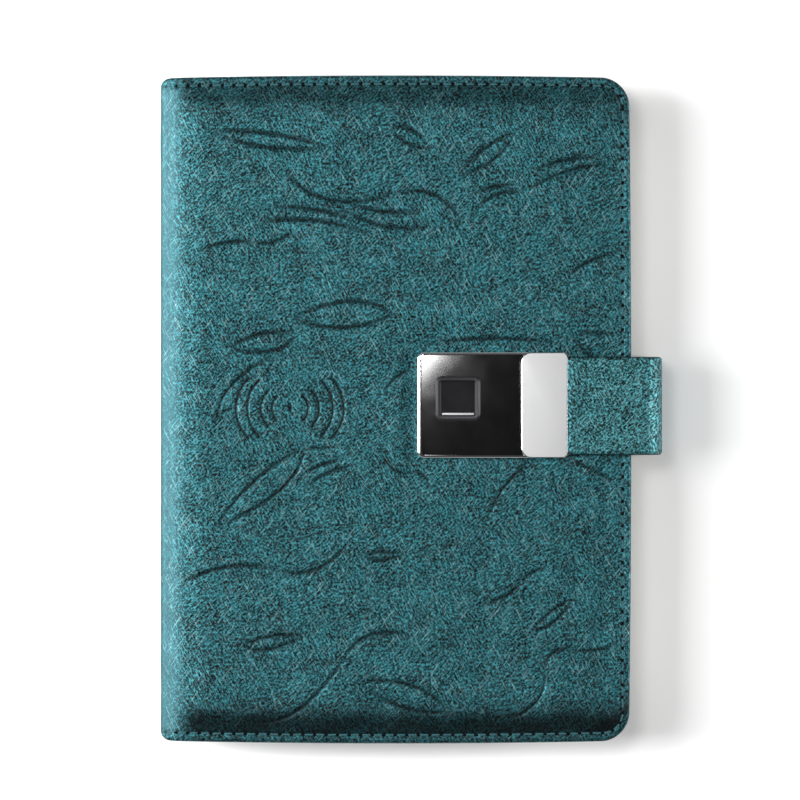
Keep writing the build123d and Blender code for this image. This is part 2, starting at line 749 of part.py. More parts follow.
lock_board_thickness = 0.8
lock_board_z = face_bottom_z - lock_board_thickness
lock_usb = (7.5, 2.1)
lock_usb_length = 6.0
lock_usb_from_left = 16.0
lock_usb_x = lock_x0 + lock_usb_from_left
lock_usb_z0 = lock_board_z - lock_usb[1]
boss_radius = 2.2


def lock_outline(x_max, z):
    """The lock's outer outline, up to x_max."""
    return rounded_sketch(lock_x0, x_max, lock_y0, lock_y1, lock_corner_radius, z)


with BuildPart() as lock_base:
    block(base_x0, face_x1, base_y0, base_y1, front_top_z, face_bottom_z)
    block(face_x1, base_x1, base_y0, base_y1, front_top_z, deck_z)
    block(sunk_x0, sunk_x1, sunk_y0, sunk_y1, sunk_z, front_top_z)
    block(cavity_x0, cavity_x1, cavity_y0, cavity_y1, cavity_z, face_bottom_z, Mode.SUBTRACT)
    for x, y in screw_spots[:2]:
        upright(x, y, cavity_z, lock_usb_z0 - rest_gap, boss_radius)
    for x, y in screw_spots:
        upright(x, y, sunk_z, front_top_z - lock_wall, lock_screw_radius, Mode.SUBTRACT)
    block(slot_x0, slot_x1, lock_center_y - slot_half, lock_center_y + slot_half,
          striker_z - rest_gap, deck_z, Mode.SUBTRACT)
    block(cavity_x1, slot_x0, lock_center_y - bolt_width / 2 - bolt_gap, lock_center_y + bolt_width / 2 + bolt_gap,
          bolt_z - bolt_thickness / 2 - bolt_gap, bolt_z + bolt_thickness / 2 + bolt_gap, Mode.SUBTRACT)
    block(lock_usb_x - lock_usb[0] / 2 - seat_gap, lock_usb_x + lock_usb[0] / 2 + seat_gap, lock_y0, cavity_y0,
          lock_usb_z0, lock_board_z + seat_gap, Mode.SUBTRACT)
lock_base.part.label = "lock_base"
export_step(lock_base.part, "parts/lock_base.step")

with BuildPart() as lock_bezel:
    extrude(lock_outline(lock_x1, front_top_z), amount=bezel_z - front_top_z)
    block(lock_x0 + bezel_side, lock_x1 - bezel_rail, lock_y0 + bezel_rail, lock_y1 - bezel_rail,
          front_top_z, bezel_z, Mode.SUBTRACT)
    # the right end is low, so that the clip lies down over it
    block(face_x1, lock_x1, lock_y0, lock_y1, deck_z, bezel_z, Mode.SUBTRACT)
    block(lock_usb_x - lock_usb[0] / 2 - seat_gap, lock_usb_x + lock_usb[0] / 2 + seat_gap,
          lock_y0, lock_y0 + bezel_rail, lock_usb_z0, lock_board_z, Mode.SUBTRACT)
lock_bezel.part.label = "lock_bezel"
export_step(lock_bezel.part, "parts/lock_bezel.step")

sensor_x0 = lock_x0 + sensor_left
sensor_x = sensor_x0 + sensor_size / 2
sensor_y = lock_center_y + sensor_rise
sensor_radius = 2.4
sensor_chamfer = 0.4
window_radius = 1.0


def square_sketch(size, radius, z):
    """A rounded square around the sensor's middle."""
    return rounded_sketch(sensor_x - size / 2, sensor_x + size / 2, sensor_y - size / 2, sensor_y + size / 2,
                          radius, z)


with BuildPart() as lock_face:
    block(lock_x0 + bezel_side, face_x1, lock_y0 + bezel_rail, lock_y1 - bezel_rail, face_bottom_z, face_z)
    ring_hole = square_sketch(sensor_size + 2 * seat_gap, sensor_radius + seat_gap, face_bottom_z)
    extrude(ring_hole, amount=face_thickness, mode=Mode.SUBTRACT)
lock_face.part.label = "lock_face"
export_step(lock_face.part, "parts/lock_face.step")

with BuildPart() as sensor_ring:
    extrude(square_sketch(sensor_size, sensor_radius, face_bottom_z), amount=face_thickness + sensor_step)
    window_hole = square_sketch(window_size + 2 * seat_gap, window_radius + seat_gap, face_bottom_z)
    extrude(window_hole, amount=face_thickness + sensor_step, mode=Mode.SUBTRACT)
    top_edges = sensor_ring.edges().group_by(Axis.Z)[-1]
    chamfer(top_edges, sensor_chamfer)
sensor_ring.part.label = "sensor_ring"
export_step(sensor_ring.part, "parts/sensor_ring.step")

with BuildPart() as sensor_window:
    extrude(square_sketch(window_size, window_radius, face_bottom_z), amount=face_thickness)
sensor_window.part.label = "sensor_window"
export_step(sensor_window.part, "parts/sensor_window.step")

with BuildPart() as lock_board:
    block(cavity_x0 + seat_gap, cavity_x1 - seat_gap, cavity_y0 + seat_gap, cavity_y1 - seat_gap,
          lock_board_z, face_bottom_z)
lock_board.part.label = "lock_circuit_board"
export_step(lock_board.part, "parts/lock_circuit_board.step")

battery_length = 24.0
battery_width = 9.0
battery_depth = 4.0
battery_from_wall = 6.0
with BuildPart() as lock_battery:
    battery_x0 = cavity_x0 + battery_from_wall
    block(battery_x0, battery_x0 + battery_length, cavity_y0 + seat_gap, cavity_y0 + seat_gap + battery_width,
          cavity_z, cavity_z + battery_depth)
lock_battery.part.label = "lock_battery"
export_step(lock_battery.part, "parts/lock_battery.step")

with BuildPart() as lock_usb_socket:
    block(lock_usb_x - lock_usb[0] / 2, lock_usb_x + lock_usb[0] / 2, lock_y0, lock_y0 + lock_usb_length,
          lock_usb_z0, lock_board_z)
    block(lock_usb_x - lock_usb[0] / 2 + usb_wall, lock_usb_x + lock_usb[0] / 2 - usb_wall, lock_y0,
          lock_y0 + lock_usb_length - usb_wall, lock_usb_z0 + usb_wall, lock_board_z - usb_wall, Mode.SUBTRACT)
lock_usb_socket.part.label = "lock_usb_socket"
export_step(lock_usb_socket.part, "parts/lock_usb_socket.step")

with BuildPart() as lock_motor:
    along_x(lock_center_y, bolt_z, motor_x0, motor_x1, motor_radius)
    # the saddle that carries it on the floor of the housing
    block(motor_x0 + saddle_inset, motor_x1 - saddle_inset, lock_center_y - motor_radius / 2, lock_center_y + motor_radius / 2,
          cavity_z, bolt_z)
    along_x(lock_center_y, bolt_z, motor_x1 - shaft_seat - rest_gap, motor_x1, screw_radius + screw_running, Mode.SUBTRACT)
lock_motor.part.label = "lock_motor"
export_step(lock_motor.part, "parts/lock_motor.step")

with BuildPart() as motor_screw:
    along_x(lock_center_y, bolt_z, motor_x1 - shaft_seat, screw_x1, screw_radius)
motor_screw.part.label = "motor_screw"
export_step(motor_screw.part, "parts/motor_screw.step")

with BuildPart() as latch_bolt:
    block(nut_x0, nut_x1, lock_center_y - nut_width / 2, lock_center_y + nut_width / 2,
          bolt_z - nut_height / 2, bolt_z + nut_height / 2)
    block(nut_x1, bolt_x1, lock_center_y - bolt_width / 2, lock_center_y + bolt_width / 2,
          bolt_z - bolt_thickness / 2, bolt_z + bolt_thickness / 2)
    along_x(lock_center_y, bolt_z, nut_x0, screw_x1 + rest_gap, screw_radius + nut_running, Mode.SUBTRACT)
latch_bolt.part.label = "latch_bolt"
export_step(latch_bolt.part, "parts/latch_bolt.step")

plate_margin = 1.0
plate_radius = 2.0
with BuildPart() as lock_backplate:
    plate = rounded_sketch(sunk_x0 - plate_margin, sunk_x1 + plate_margin, sunk_y0 - plate_margin,
                           sunk_y1 + plate_margin, plate_radius, front_inner_z - lock_backplate_thickness)
    extrude(plate, amount=lock_backplate_thickness)
    for x, y in screw_spots:
        upright(x, y, front_inner_z - lock_backplate_thickness, front_inner_z,
                lock_screw_radius + seat_gap, Mode.SUBTRACT)
lock_backplate.part.label = "lock_backplate"
export_step(lock_backplate.part, "parts/lock_backplate.step")

screw_head_height = 0.7
screw_head_radius = 1.9
with BuildPart() as lock_screws:
    head_z = front_inner_z - lock_backplate_thickness
    for x, y in screw_spots:
        upright(x, y, head_z - screw_head_height, head_z, screw_head_radius)
        upright(x, y, head_z, front_top_z - 2 * lock_wall, lock_screw_radius - rivet_seat)
lock_screws.part.label = "lock_screws"
export_step(lock_screws.part, "parts/lock_screws.step")

# ---- strap and clip ----
strap_thickness = 3.0
strap_width = 34.3
strap_center_y = 1.25
strap_top_drop = 2.6  # how far past the clip the thin tongue starts down to the cover
strap_slope = 3.6
tongue_inset = 0.8

strap_y0 = strap_center_y - strap_width / 2
strap_y1 = strap_center_y + strap_width / 2
strap_fold_radius = strap_thickness / 2
strap_fold_x = fore_x + strap_reach - strap_fold_radius
strap_lower_z = strap_fold_radius
flap_z = front_top_z + rest_gap
strap_upper_z = flap_z + strap_fold_radius
flap_x1 = strap_fold_x - strap_fold_radius - rest_gap

with BuildPart() as strap_tab:
    block(fore_x, strap_fold_x, strap_y0, strap_y1, 0, strap_thickness)
    along_y(strap_fold_x, strap_lower_z, strap_y0, strap_y1, strap_fold_radius)
strap_tab.part.label = "strap_tab"
export_step(strap_tab.part, "parts/strap_tab.step")

with BuildPart() as strap_side:
    block(strap_fold_x - strap_fold_radius, strap_fold_x + strap_fold_radius, strap_y0, strap_y1,
          strap_lower_z + strap_fold_radius + rest_gap, strap_upper_z)
    along_y(strap_fold_x, strap_upper_z, strap_y0, strap_y1, strap_fold_radius)
strap_side.part.label = "strap_side"
export_step(strap_side.part, "parts/strap_side.step")

clip_rivet_inset = 3.4
clip_rivet_half_pitch = 12.0
clip_rivet_spots = [(x, lock_center_y + side * clip_rivet_half_pitch)
                    for x in (clip_x0 + clip_rivet_inset, clip_x1 - clip_rivet_inset) for side in (-1, 1)]
rivet_blind_depth = 1.0
plate_chamfer = 0.5
slope_offset = 1.0  # the slope's underside starts this much nearer to the clip

with BuildPart() as strap_flap:
    slope_x0 = clip_x1 + strap_top_drop
    with BuildSketch(Plane.XZ.offset(-strap_y0)):
        with BuildLine():
            Polyline(
                (clip_x0 + tongue_inset, tongue_z),
                (slope_x0 - slope_offset, tongue_z),
                (slope_x0 - slope_offset + strap_slope, flap_z),
                (flap_x1, flap_z),
                (flap_x1, flap_z + strap_thickness),
                (slope_x0 + strap_slope, flap_z + strap_thickness),
                (slope_x0, clip_plate_z),
                (clip_x0 + tongue_inset, clip_plate_z),
                close=True,
            )
        make_face()
    extrude(amount=-strap_width)
    for x, y in clip_rivet_spots:
        upright(x, y, tongue_z, clip_plate_z, clip_rivet_radius, Mode.SUBTRACT)
strap_flap.part.label = "strap_flap"
export_step(strap_flap.part, "parts/strap_flap.step")

with BuildPart() as clip_plate:
    with BuildSketch(Plane.XY.offset(clip_plate_z)) as plate_face:
        with Locations(((clip_x0 + clip_x1) / 2, lock_center_y)):
            Rectangle(clip_length, lock_width)
        fillet(plate_face.vertices().group_by(Axis.X)[0], clip_corner_radius)
        fillet(plate_face.vertices().group_by(Axis.X)[-1], lock_corner_radius)
    extrude(amount=clip_plate_thickness)
    chamfer(clip_plate.edges().group_by(Axis.Z)[-1], plate_chamfer)
    for x, y in clip_rivet_spots:
        upright(x, y, clip_plate_z, clip_plate_z + rivet_blind_depth, clip_rivet_radius, Mode.SUBTRACT)
clip_plate.part.label = "clip_plate"
export_step(clip_plate.part, "parts/clip_plate.step")

with BuildPart() as clip_back:
    block(clip_x0 + clip_inset, clip_x1 - clip_inset, lock_y0 + clip_inset, lock_y1 - clip_inset,
          clip_back_z, tongue_z)
    for x, y in clip_rivet_spots:
        upright(x, y, clip_back_z, tongue_z, clip_rivet_radius, Mode.SUBTRACT)
    # the striker and the window that the bolt enters
    block(striker_x0, striker_x1, lock_center_y - striker_width / 2, lock_center_y + striker_width / 2,
          striker_z, clip_back_z)
    block(striker_x0, striker_x1, lock_center_y - bolt_width / 2 - rest_gap, lock_center_y + bolt_width / 2 + rest_gap,
          bolt_z - bolt_thickness / 2 - rest_gap, bolt_z + bolt_thickness / 2 + rest_gap, Mode.SUBTRACT)
clip_back.part.label = "clip_striker_plate"
export_step(clip_back.part, "parts/clip_striker_plate.step")

with BuildPart() as clip_rivets:
    for x, y in clip_rivet_spots:
        upright(x, y, clip_back_z, clip_plate_z + rivet_blind_depth, clip_rivet_radius - rivet_seat)
clip_rivets.part.label = "clip_rivets"
export_step(clip_rivets.part, "parts/clip_rivets.step")
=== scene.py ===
"""A closed organiser with a fingerprint lock and a wireless power bank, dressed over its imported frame."""

import json
import math
import random

import bmesh
import bpy
import numpy as np
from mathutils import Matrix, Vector


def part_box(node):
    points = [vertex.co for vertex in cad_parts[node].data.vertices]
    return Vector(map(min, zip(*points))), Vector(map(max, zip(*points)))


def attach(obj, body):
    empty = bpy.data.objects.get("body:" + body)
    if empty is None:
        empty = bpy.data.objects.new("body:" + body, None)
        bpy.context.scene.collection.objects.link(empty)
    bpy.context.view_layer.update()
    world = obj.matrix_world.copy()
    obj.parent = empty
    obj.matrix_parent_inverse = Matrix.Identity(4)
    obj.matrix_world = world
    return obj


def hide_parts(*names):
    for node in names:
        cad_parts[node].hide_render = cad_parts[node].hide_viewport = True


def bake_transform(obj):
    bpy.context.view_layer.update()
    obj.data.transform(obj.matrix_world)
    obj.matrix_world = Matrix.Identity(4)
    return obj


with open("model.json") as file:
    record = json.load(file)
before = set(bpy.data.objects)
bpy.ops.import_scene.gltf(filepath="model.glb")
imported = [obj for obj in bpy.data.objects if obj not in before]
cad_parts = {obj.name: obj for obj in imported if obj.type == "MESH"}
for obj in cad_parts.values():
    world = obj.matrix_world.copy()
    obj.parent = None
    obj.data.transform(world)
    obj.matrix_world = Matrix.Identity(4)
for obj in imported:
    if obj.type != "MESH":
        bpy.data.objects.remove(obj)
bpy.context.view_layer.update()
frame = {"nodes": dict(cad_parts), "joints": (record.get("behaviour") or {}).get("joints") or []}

MM = 0.001
nodes = frame["nodes"]


def mm_box(node):
    """A node's lowest and highest corners at rest, in millimetres."""
    low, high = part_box(node)
    return [v / MM for v in low], [v / MM for v in high]


# ---- places taken from the frame, mm ----
(_, cover_y0, back_z0), (fore_x, cover_y1, _) = mm_box("back_cover_leather")
(front_x0, _, _), (_, _, front_top_z) = mm_box("front_cover_leather")
(spine_x, _, spine_z0), (_, _, spine_z1) = mm_box("spine_leather")
(_, _, front_inner_z), _ = mm_box("front_cover_lining")
_, (_, _, back_top_z) = mm_box("back_cover_lining")
(lock_x0, lock_y0, _), (lock_x1, lock_y1, bezel_z) = mm_box("lock_bezel")
(face_x0, face_y0, face_z0), (face_x1, face_y1, face_z1) = mm_box("lock_face")
(ring_x0, ring_y0, _), (ring_x1, ring_y1, ring_z1) = mm_box("sensor_ring")
(window_x0, _, _), (_, _, window_z1) = mm_box("sensor_window")
(clip_x0, clip_y0, clip_z0), (clip_x1, clip_y1, clip_z1) = mm_box("clip_plate")
(side_x0, strap_y0, side_z0), (side_x1, strap_y1, _) = mm_box("strap_side")
(flap_x0, _, _), _ = mm_box("strap_flap")
(coil_x0, coil_y0, _), (coil_x1, coil_y1, _) = mm_box("charging_coil")
half_height = (cover_y1 - cover_y0) / 2
joint_at = {j["name"]: [v / MM for v in j["pos_m"]] for j in frame["joints"] if "pos_m" in j}
upper_fold_x, _, _ = joint_at["cover_hinge"]
lower_fold_x, _, _ = joint_at["spine_hinge"]
strap_fold_x, _, strap_upper_z = joint_at["strap_unbend"]
_, _, strap_lower_z = joint_at["strap_swing"]

# ---- camera: straight above the front cover ----
VIEW_WIDTH = 280.0  # across the picture at the cover, mm
VIEW_CENTER = (-4.0, 3.3)
CAMERA_HEIGHT = 1600.0
SENSOR = 36.0
FAR_CLIP = 20.0  # m

camera_data = bpy.data.cameras.new("camera")
camera_data.sensor_width = SENSOR
camera_data.lens = SENSOR * CAMERA_HEIGHT / VIEW_WIDTH
camera_data.clip_end = FAR_CLIP
camera = bpy.data.objects.new("camera", camera_data)
camera.location = Vector((VIEW_CENTER[0], VIEW_CENTER[1], front_top_z + CAMERA_HEIGHT)) * MM
bpy.context.scene.collection.objects.link(camera)
bpy.context.scene.camera = camera


# ---- small helpers ----
def add_object(name, mesh, body=None, material=None, smooth=True):
    """Links a mesh as a piece of the object, smooth shaded, riding on a body."""
    obj = bpy.data.objects.new(name, mesh)
    bpy.context.scene.collection.objects.link(obj)
    if smooth:
        for polygon in mesh.polygons:
            polygon.use_smooth = True
    if material:
        mesh.materials.append(material)
    if body:
        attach(obj, body)
    return obj


def mesh_from(name, points_mm, faces):
    """A mesh from points in millimetres."""
    mesh = bpy.data.meshes.new(name)
    mesh.from_pydata([(x * MM, y * MM, z * MM) for x, y, z in points_mm], [], faces)
    mesh.validate()
    work = bmesh.new()
    work.from_mesh(mesh)
    bmesh.ops.recalc_face_normals(work, faces=work.faces)
    work.to_mesh(mesh)
    work.free()
    return mesh


def add_piece(name, shape, body, material, smooth=True):
    """A piece of the object from its points in millimetres and its faces."""
    return add_object(name, mesh_from(name, *shape), body, material, smooth)


def store_on(mesh, uvs, marks):
    """Gives a mesh its flat coordinates for the leather's grain, and its marks, all listed by point."""
    layer = mesh.uv_layers.new(name="surface")
    order = np.zeros(len(mesh.loops), dtype=np.int32)
    mesh.loops.foreach_get("vertex_index", order)
    layer.data.foreach_set("uv", (np.array(uvs)[order] * MM).astype(np.float32).reshape(-1))
    for key, numbers in marks.items():
        attribute = mesh.attributes.new(key, "FLOAT", "POINT")
        attribute.data.foreach_set("value", np.array(numbers, dtype=np.float32))


def grid_faces(columns, rows):
    """The faces between the points of a grid listed column by column."""
    corners = [i * rows + j for i in range(columns - 1) for j in range(rows - 1)]
    return [(a, a + rows, a + rows + 1, a + 1) for a in corners]


def area_light(name, location, target, size, power):
    """A soft rectangular light aimed at a point; lengths in metres."""
    data = bpy.data.lights.new(name, "AREA")
    data.shape = "RECTANGLE"
    data.size, data.size_y = size
    data.energy = power
    light = bpy.data.objects.new(name, data)
    light.location = location
    direction = Vector(target) - Vector(location)
    light.rotation_euler = direction.to_track_quat("-Z", "Y").to_euler()
    bpy.context.scene.collection.objects.link(light)


# ---- floor and light ----
FLOOR_TONE = 0.88
FLOOR_REACH = 3.0  # from the middle of the floor to its sides, m
WORLD_SIDE = 0.85  # the plain world's strength near the horizon
WORLD_TOP = 0.05  # and overhead, where only the softboxes are bright
WORLD_RISE = 0.6  # the height in the sky, from 0 to 1, from which it is as dark as overhead


def make_stage():
    """A plain pale floor and a plain world, bright near the horizon and dark overhead."""
    corners = [(x * FLOOR_REACH, y * FLOOR_REACH, 0) for x, y in ((-1, -1), (1, -1), (1, 1), (-1, 1))]
    mesh = bpy.data.meshes.new("floor")
    mesh.from_pydata(corners, [], [(0, 1, 2, 3)])
    floor = bpy.data.objects.new("floor", mesh)
    bpy.context.scene.collection.objects.link(floor)
    paint = bpy.data.materials.new("floor_paint")
    paint.use_nodes = True
    shader = paint.node_tree.nodes["Principled BSDF"]
    shader.inputs["Base Color"].default_value = (FLOOR_TONE, FLOOR_TONE, FLOOR_TONE, 1)
    shader.inputs["Roughness"].default_value = 0.9
    shader.inputs["Specular IOR Level"].default_value = 0.1
    mesh.materials.append(paint)
    world = bpy.data.worlds.new("studio")
    bpy.context.scene.world = world
    world.use_nodes = True
    tree = world.node_tree
    background = tree.nodes["Background"]
    background.inputs["Color"].default_value = (1, 1, 1, 1)
    where = tree.nodes.new("ShaderNodeTexCoord")
    split = tree.nodes.new("ShaderNodeSeparateXYZ")
    height = tree.nodes.new("ShaderNodeMapRange")
    for index, number in enumerate((0.0, WORLD_RISE, WORLD_SIDE, WORLD_TOP), start=1):
        height.inputs[index].default_value = number
    tree.links.new(where.outputs["Generated"], split.inputs[0])
    tree.links.new(split.outputs["Z"], height.inputs[0])
    tree.links.new(height.outputs[0], background.inputs["Strength"])


make_stage()
bpy.context.scene.view_settings.view_transform = "Standard"
# each light's place, target and size in metres, then its power in watts
area_light("glass_key", (-0.27, 0.27, 1.9), (0, 0, 0), (0.3, 0.3), 8.0)
area_light("overhead", (-0.75, 0.35, 1.55), (0, 0, 0), (0.7, 1.0), 2.5)
area_light("left_low", (-1.1, 0.1, 0.8), (-0.05, 0, 0), (0.5, 1.5), 40.0)
area_light("right_low", (1.2, 0.0, 0.5), (0.05, 0, 0), (0.4, 1.2), 16.0)


# ---- materials ----
def srgb(red, green, blue):
    """A colour given as 0 to 255 display values, as the linear values that shaders take."""
    def channel(value):
        share = value / 255
        return share / 12.92 if share <= 0.04045 else ((share + 0.055) / 1.055) ** 2.4
    return (channel(red), channel(green), channel(blue), 1.0)


class Paint:
    """A node material: a Principled shader with short calls for the nodes that feed it."""

    def __init__(self, name, color, roughness, metallic=0.0, **sockets):
        self.material = bpy.data.materials.new(name)
        self.material.use_nodes = True
        self.tree = self.material.node_tree
        self.shader = self.tree.nodes["Principled BSDF"]
        self.set("Base Color", color)
        self.set("Roughness", roughness)
        self.set("Metallic", metallic)
        for socket, value in sockets.items():
            self.set(socket.replace("_", " "), value)

    def set(self, socket, value):
        """A fixed value on the shader itself."""
        self.shader.inputs[socket].default_value = value

    def link(self, source, target):
        """A wire from one node's output to another's input."""
        self.tree.links.new(source, target)

    def feed(self, socket, source):
        """A wire to the shader itself."""
        self.link(source, self.shader.inputs[socket])

    def node(self, kind, **values):
        """A new node with its inputs set by name."""
        node = self.tree.nodes.new("ShaderNode" + kind)
        for key, value in values.items():
            node.inputs[key.replace("_", " ")].default_value = value
        return node

    def place(self, kind="Object", scale=(1, 1, 1), angle=0.0):
        """Texture coordinates, turned about Z and then scaled."""
        if kind == "Object":
            source = self.node("TexCoord").outputs["Object"]
        else:
            flat = self.node("UVMap")
            flat.uv_map = kind
            source = flat.outputs["UV"]
        turn = self.node("Mapping", Rotation=(0, 0, angle))
        self.link(source, turn.inputs["Vector"])
        stretch = self.node("Mapping", Scale=scale)
        self.link(turn.outputs["Vector"], stretch.inputs["Vector"])
        return stretch.outputs["Vector"]

    def noise(self, vector, scale, detail=3.0, rough=0.5, distortion=0.0):
        """A noise texture's value."""
        texture = self.node("TexNoise", Scale=scale, Detail=detail, Roughness=rough, Distortion=distortion)
        self.link(vector, texture.inputs["Vector"])
        return texture.outputs["Fac"]

    def ramp(self, value, low, high, to_low=0.0, to_high=1.0):
        """A value remapped from one range to another, clamped."""
        remap = self.node("MapRange")
        for index, number in enumerate((low, high, to_low, to_high), start=1):
            remap.inputs[index].default_value = number
        self.link(value, remap.inputs[0])
        return remap.outputs[0]

    def math(self, operation, first, second):
        """A sum, product or other simple step of two values."""
        step = self.node("Math")
        step.operation = operation
        for index, value in enumerate((first, second)):
            if isinstance(value, (int, float)):
                step.inputs[index].default_value = value
            else:
                self.link(value, step.inputs[index])
        return step.outputs[0]

    def mix(self, factor, first, second):
        """A colour between two colours."""
        blend = self.node("Mix")
        blend.data_type = "RGBA"
        if isinstance(factor, (int, float)):
            blend.inputs["Factor"].default_value = factor
        else:
            self.link(factor, blend.inputs["Factor"])
        for index, value in ((6, first), (7, second)):
            if isinstance(value, tuple):
                blend.inputs[index].default_value = value
            else:
                self.link(value, blend.inputs[index])
        return blend.outputs[2]

    def bump(self, height, strength, distance_mm):
        """Relief from a height value, stacked on any relief made before."""
        relief = self.node("Bump", Strength=strength, Distance=distance_mm * MM)
        self.link(height, relief.inputs["Height"])
        before = self.shader.inputs["Normal"]
        if before.is_linked:
            self.link(before.links[0].from_socket, relief.inputs["Normal"])
        self.link(relief.outputs["Normal"], before)

    def handled(self, roughness, scale, highest):
        """Faint handling marks: the roughness wanders from place to place."""
        marks = self.noise(self.place("Object"), scale, 4.0)
        spread = self.ramp(marks, 0.3, 0.7, roughness * 0.85, roughness * highest)
        self.feed("Roughness", spread)

    def attribute(self, name):
        """A value stored on the mesh's points."""
        reader = self.node("Attribute")
        reader.attribute_name = name
        return reader.outputs["Fac"]


def fibres(paint, kind, angle, length_scale, width_scale):
    """Short fine hairs along one direction: noise stretched along it, with a cross break-up."""
    vector = paint.place(kind, (length_scale, width_scale, length_scale), angle)
    return paint.noise(vector, 1.0, 2.5, 0.55, 0.6)


LEATHER_METAL = 0.6
LEATHER_SPECULAR = 0.25
LEATHER_GLOSS = 0.42  # the roughness between its specks and on them
SPECKLE_SCALE = 1250.0  # texture scales, all per metre
PATCH_SCALE = 38.0  # patches in which the hairs run one way
MOTTLE_SCALE = 130.0
DENT_SCALE = 420.0
HAIR_SCALES = (420.0, 2600.0)  # along a hair and across it
PALE_SCALES = (150.0, 2300.0)
HAIR_ANGLES = (62, -38)  # the turn of the grain in degrees, in one kind of patch and the other
PALE_ANGLES = (62, -52)
SPECKLE_SHARE = 0.55  # the grain is part speckle and part hairs
HAIR_GRAIN_SHARE = 0.45
PALE_HAIR = srgb(146, 188, 192)
PALE_HAIR_SHARE = 0.24
RUBBED_SHARE = 0.75  # how far each mark on the leather changes its colour
SEAM_SHADE_SHARE = 0.93
PRESSED_SHADE_SHARE = 0.98
SHADE_TONE_SHARE = 0.3  # the painted shade's tone in the grooves, holes and seam, as a share of the dark tone


def leather_paint(name, kind, dark, light, rubbed, gloss):
    """Metallic brushed leatherette: fine speckle and crossing hairs, with painted shade in its pressed lines
    and holes and along its seam.
    """
    paint = Paint(name, light, 0.5, LEATHER_METAL, Specular_IOR_Level=LEATHER_SPECULAR)
    flat = paint.place(kind)
    speckle = paint.ramp(paint.noise(flat, SPECKLE_SCALE, 2.0, 0.6), 0.48, 0.61)
    patches = paint.ramp(paint.noise(flat, PATCH_SCALE, 2.0), 0.42, 0.58)
    steep, shallow = (fibres(paint, kind, math.radians(turn), *HAIR_SCALES) for turn in HAIR_ANGLES)
    swap = paint.node("Mix")
    paint.link(patches, swap.inputs["Factor"])
    paint.link(steep, swap.inputs[2])
    paint.link(shallow, swap.inputs[3])
    hairs = paint.ramp(swap.outputs[0], 0.5, 0.6)
    grain = paint.math("ADD", paint.math("MULTIPLY", speckle, SPECKLE_SHARE),
                       paint.math("MULTIPLY", hairs, HAIR_GRAIN_SHARE))
    mottle = paint.ramp(paint.noise(flat, MOTTLE_SCALE, 3.0), 0.3, 0.72, -0.1, 0.1)
    color = paint.mix(paint.math("ADD", grain, mottle), dark, light)

    def marked(color, mark, share, toward):
        """The colour, changed where the mesh carries a mark."""
        return paint.mix(paint.math("MULTIPLY", paint.attribute(mark), share), color, toward)

    # rubbed smooth where it is stretched over the spine's roll
    color = marked(color, "stretched", RUBBED_SHARE, rubbed)
    for turn in PALE_ANGLES:
        hair = fibres(paint, kind, math.radians(turn), *PALE_SCALES)
        color = paint.mix(paint.ramp(hair, 0.61, 0.67, 0.0, PALE_HAIR_SHARE), color, PALE_HAIR)
    # painted shade: a near-black tone laid into the grooves, the holes and the seam
    deep = tuple(SHADE_TONE_SHARE * v for v in dark[:3]) + (1.0,)
    # painted shade where the padding rolls down to the seam
    color = marked(color, "seam_shade", SEAM_SHADE_SHARE, deep)
    # painted shade in the pressed lines, the sign, the stitch holes and along the strap's edges
    color = marked(color, "pressed", PRESSED_SHADE_SHARE, deep)
    paint.feed("Base Color", color)
    paint.feed("Roughness", paint.ramp(grain, 0.0, 1.0, gloss + 0.12, gloss - 0.04))
    paint.bump(grain, 0.75, 0.05)
    paint.bump(paint.noise(flat, DENT_SCALE, 2.0), 0.2, 0.12)
    return paint.material


TEAL_DARK = srgb(0, 3, 5)
TEAL_LIGHT = srgb(52, 127, 137)
STRAP_LIGHT = srgb(82, 160, 168)  # the strap is the paler
TEAL_RUBBED = srgb(52, 90, 97)
leather = leather_paint("teal_leather", "surface", TEAL_DARK, TEAL_LIGHT, TEAL_RUBBED, LEATHER_GLOSS)
strap_teal = leather_paint("strap_teal", "surface", TEAL_DARK, STRAP_LIGHT, TEAL_RUBBED, LEATHER_GLOSS)


def thread_paint(name, dark, light):
    """Waxed thread with a fine twist."""
    paint = Paint(name, light, 0.85)
    twist = paint.noise(paint.place("Object", (900.0, 900.0, 900.0)), 2.0, 2.0)
    paint.feed("Base Color", paint.mix(twist, dark, light))
    paint.bump(twist, 0.4, 0.08)
    return paint.material


def metal_paint(name, color, roughness, brushing=0.0):
    """A metal with faint handling marks, or with fine brushing along Y."""
    paint = Paint(name, color, roughness, 1.0)
    paint.handled(roughness, 160.0, 1.25)
    if brushing:
        lines = paint.noise(paint.place("Object", (3500.0, 60.0, 3500.0)), 1.0, 2.0)
        paint.bump(lines, brushing, 0.03)
    return paint.material


def plastic_paint(name, color, roughness, grain=0.15, grain_scale=2600.0, metallic=0.0, **sockets):
    """Moulded plastic with a fine spark texture."""
    paint = Paint(name, color, roughness, metallic, **sockets)
    texture = paint.noise(paint.place("Object"), grain_scale, 2.0)
    paint.handled(roughness, 130.0, 1.2)
    paint.bump(texture, grain, 0.02)
    return paint.material


WAVE_SCALE = 2 / 6.2832  # at this scale a wave texture repeats about once a metre


def woven_paint(name, dark, light, pitch=0.45):
    """Lining cloth: two crossing sets of threads over a soft mottle."""
    paint = Paint(name, light, 0.85)
    vector = paint.place("Object")
    height = None
    for direction in ("X", "Y"):
        wave = paint.node("TexWave", Scale=WAVE_SCALE / (pitch * MM), Distortion=1.2, Detail=1.0,
                          Detail_Scale=3.0)
        wave.bands_direction = direction
        paint.link(vector, wave.inputs["Vector"])
        threads = wave.outputs["Fac"]
        height = threads if height is None else paint.math("MULTIPLY", height, threads)
    mottle = paint.noise(vector, 60.0, 3.0)
    tone = paint.math("ADD", paint.math("MULTIPLY", height, 0.6), paint.math("MULTIPLY", mottle, 0.4))
    paint.feed("Base Color", paint.mix(tone, dark, light))
    paint.bump(height, 0.4, 0.1)
    return paint.material


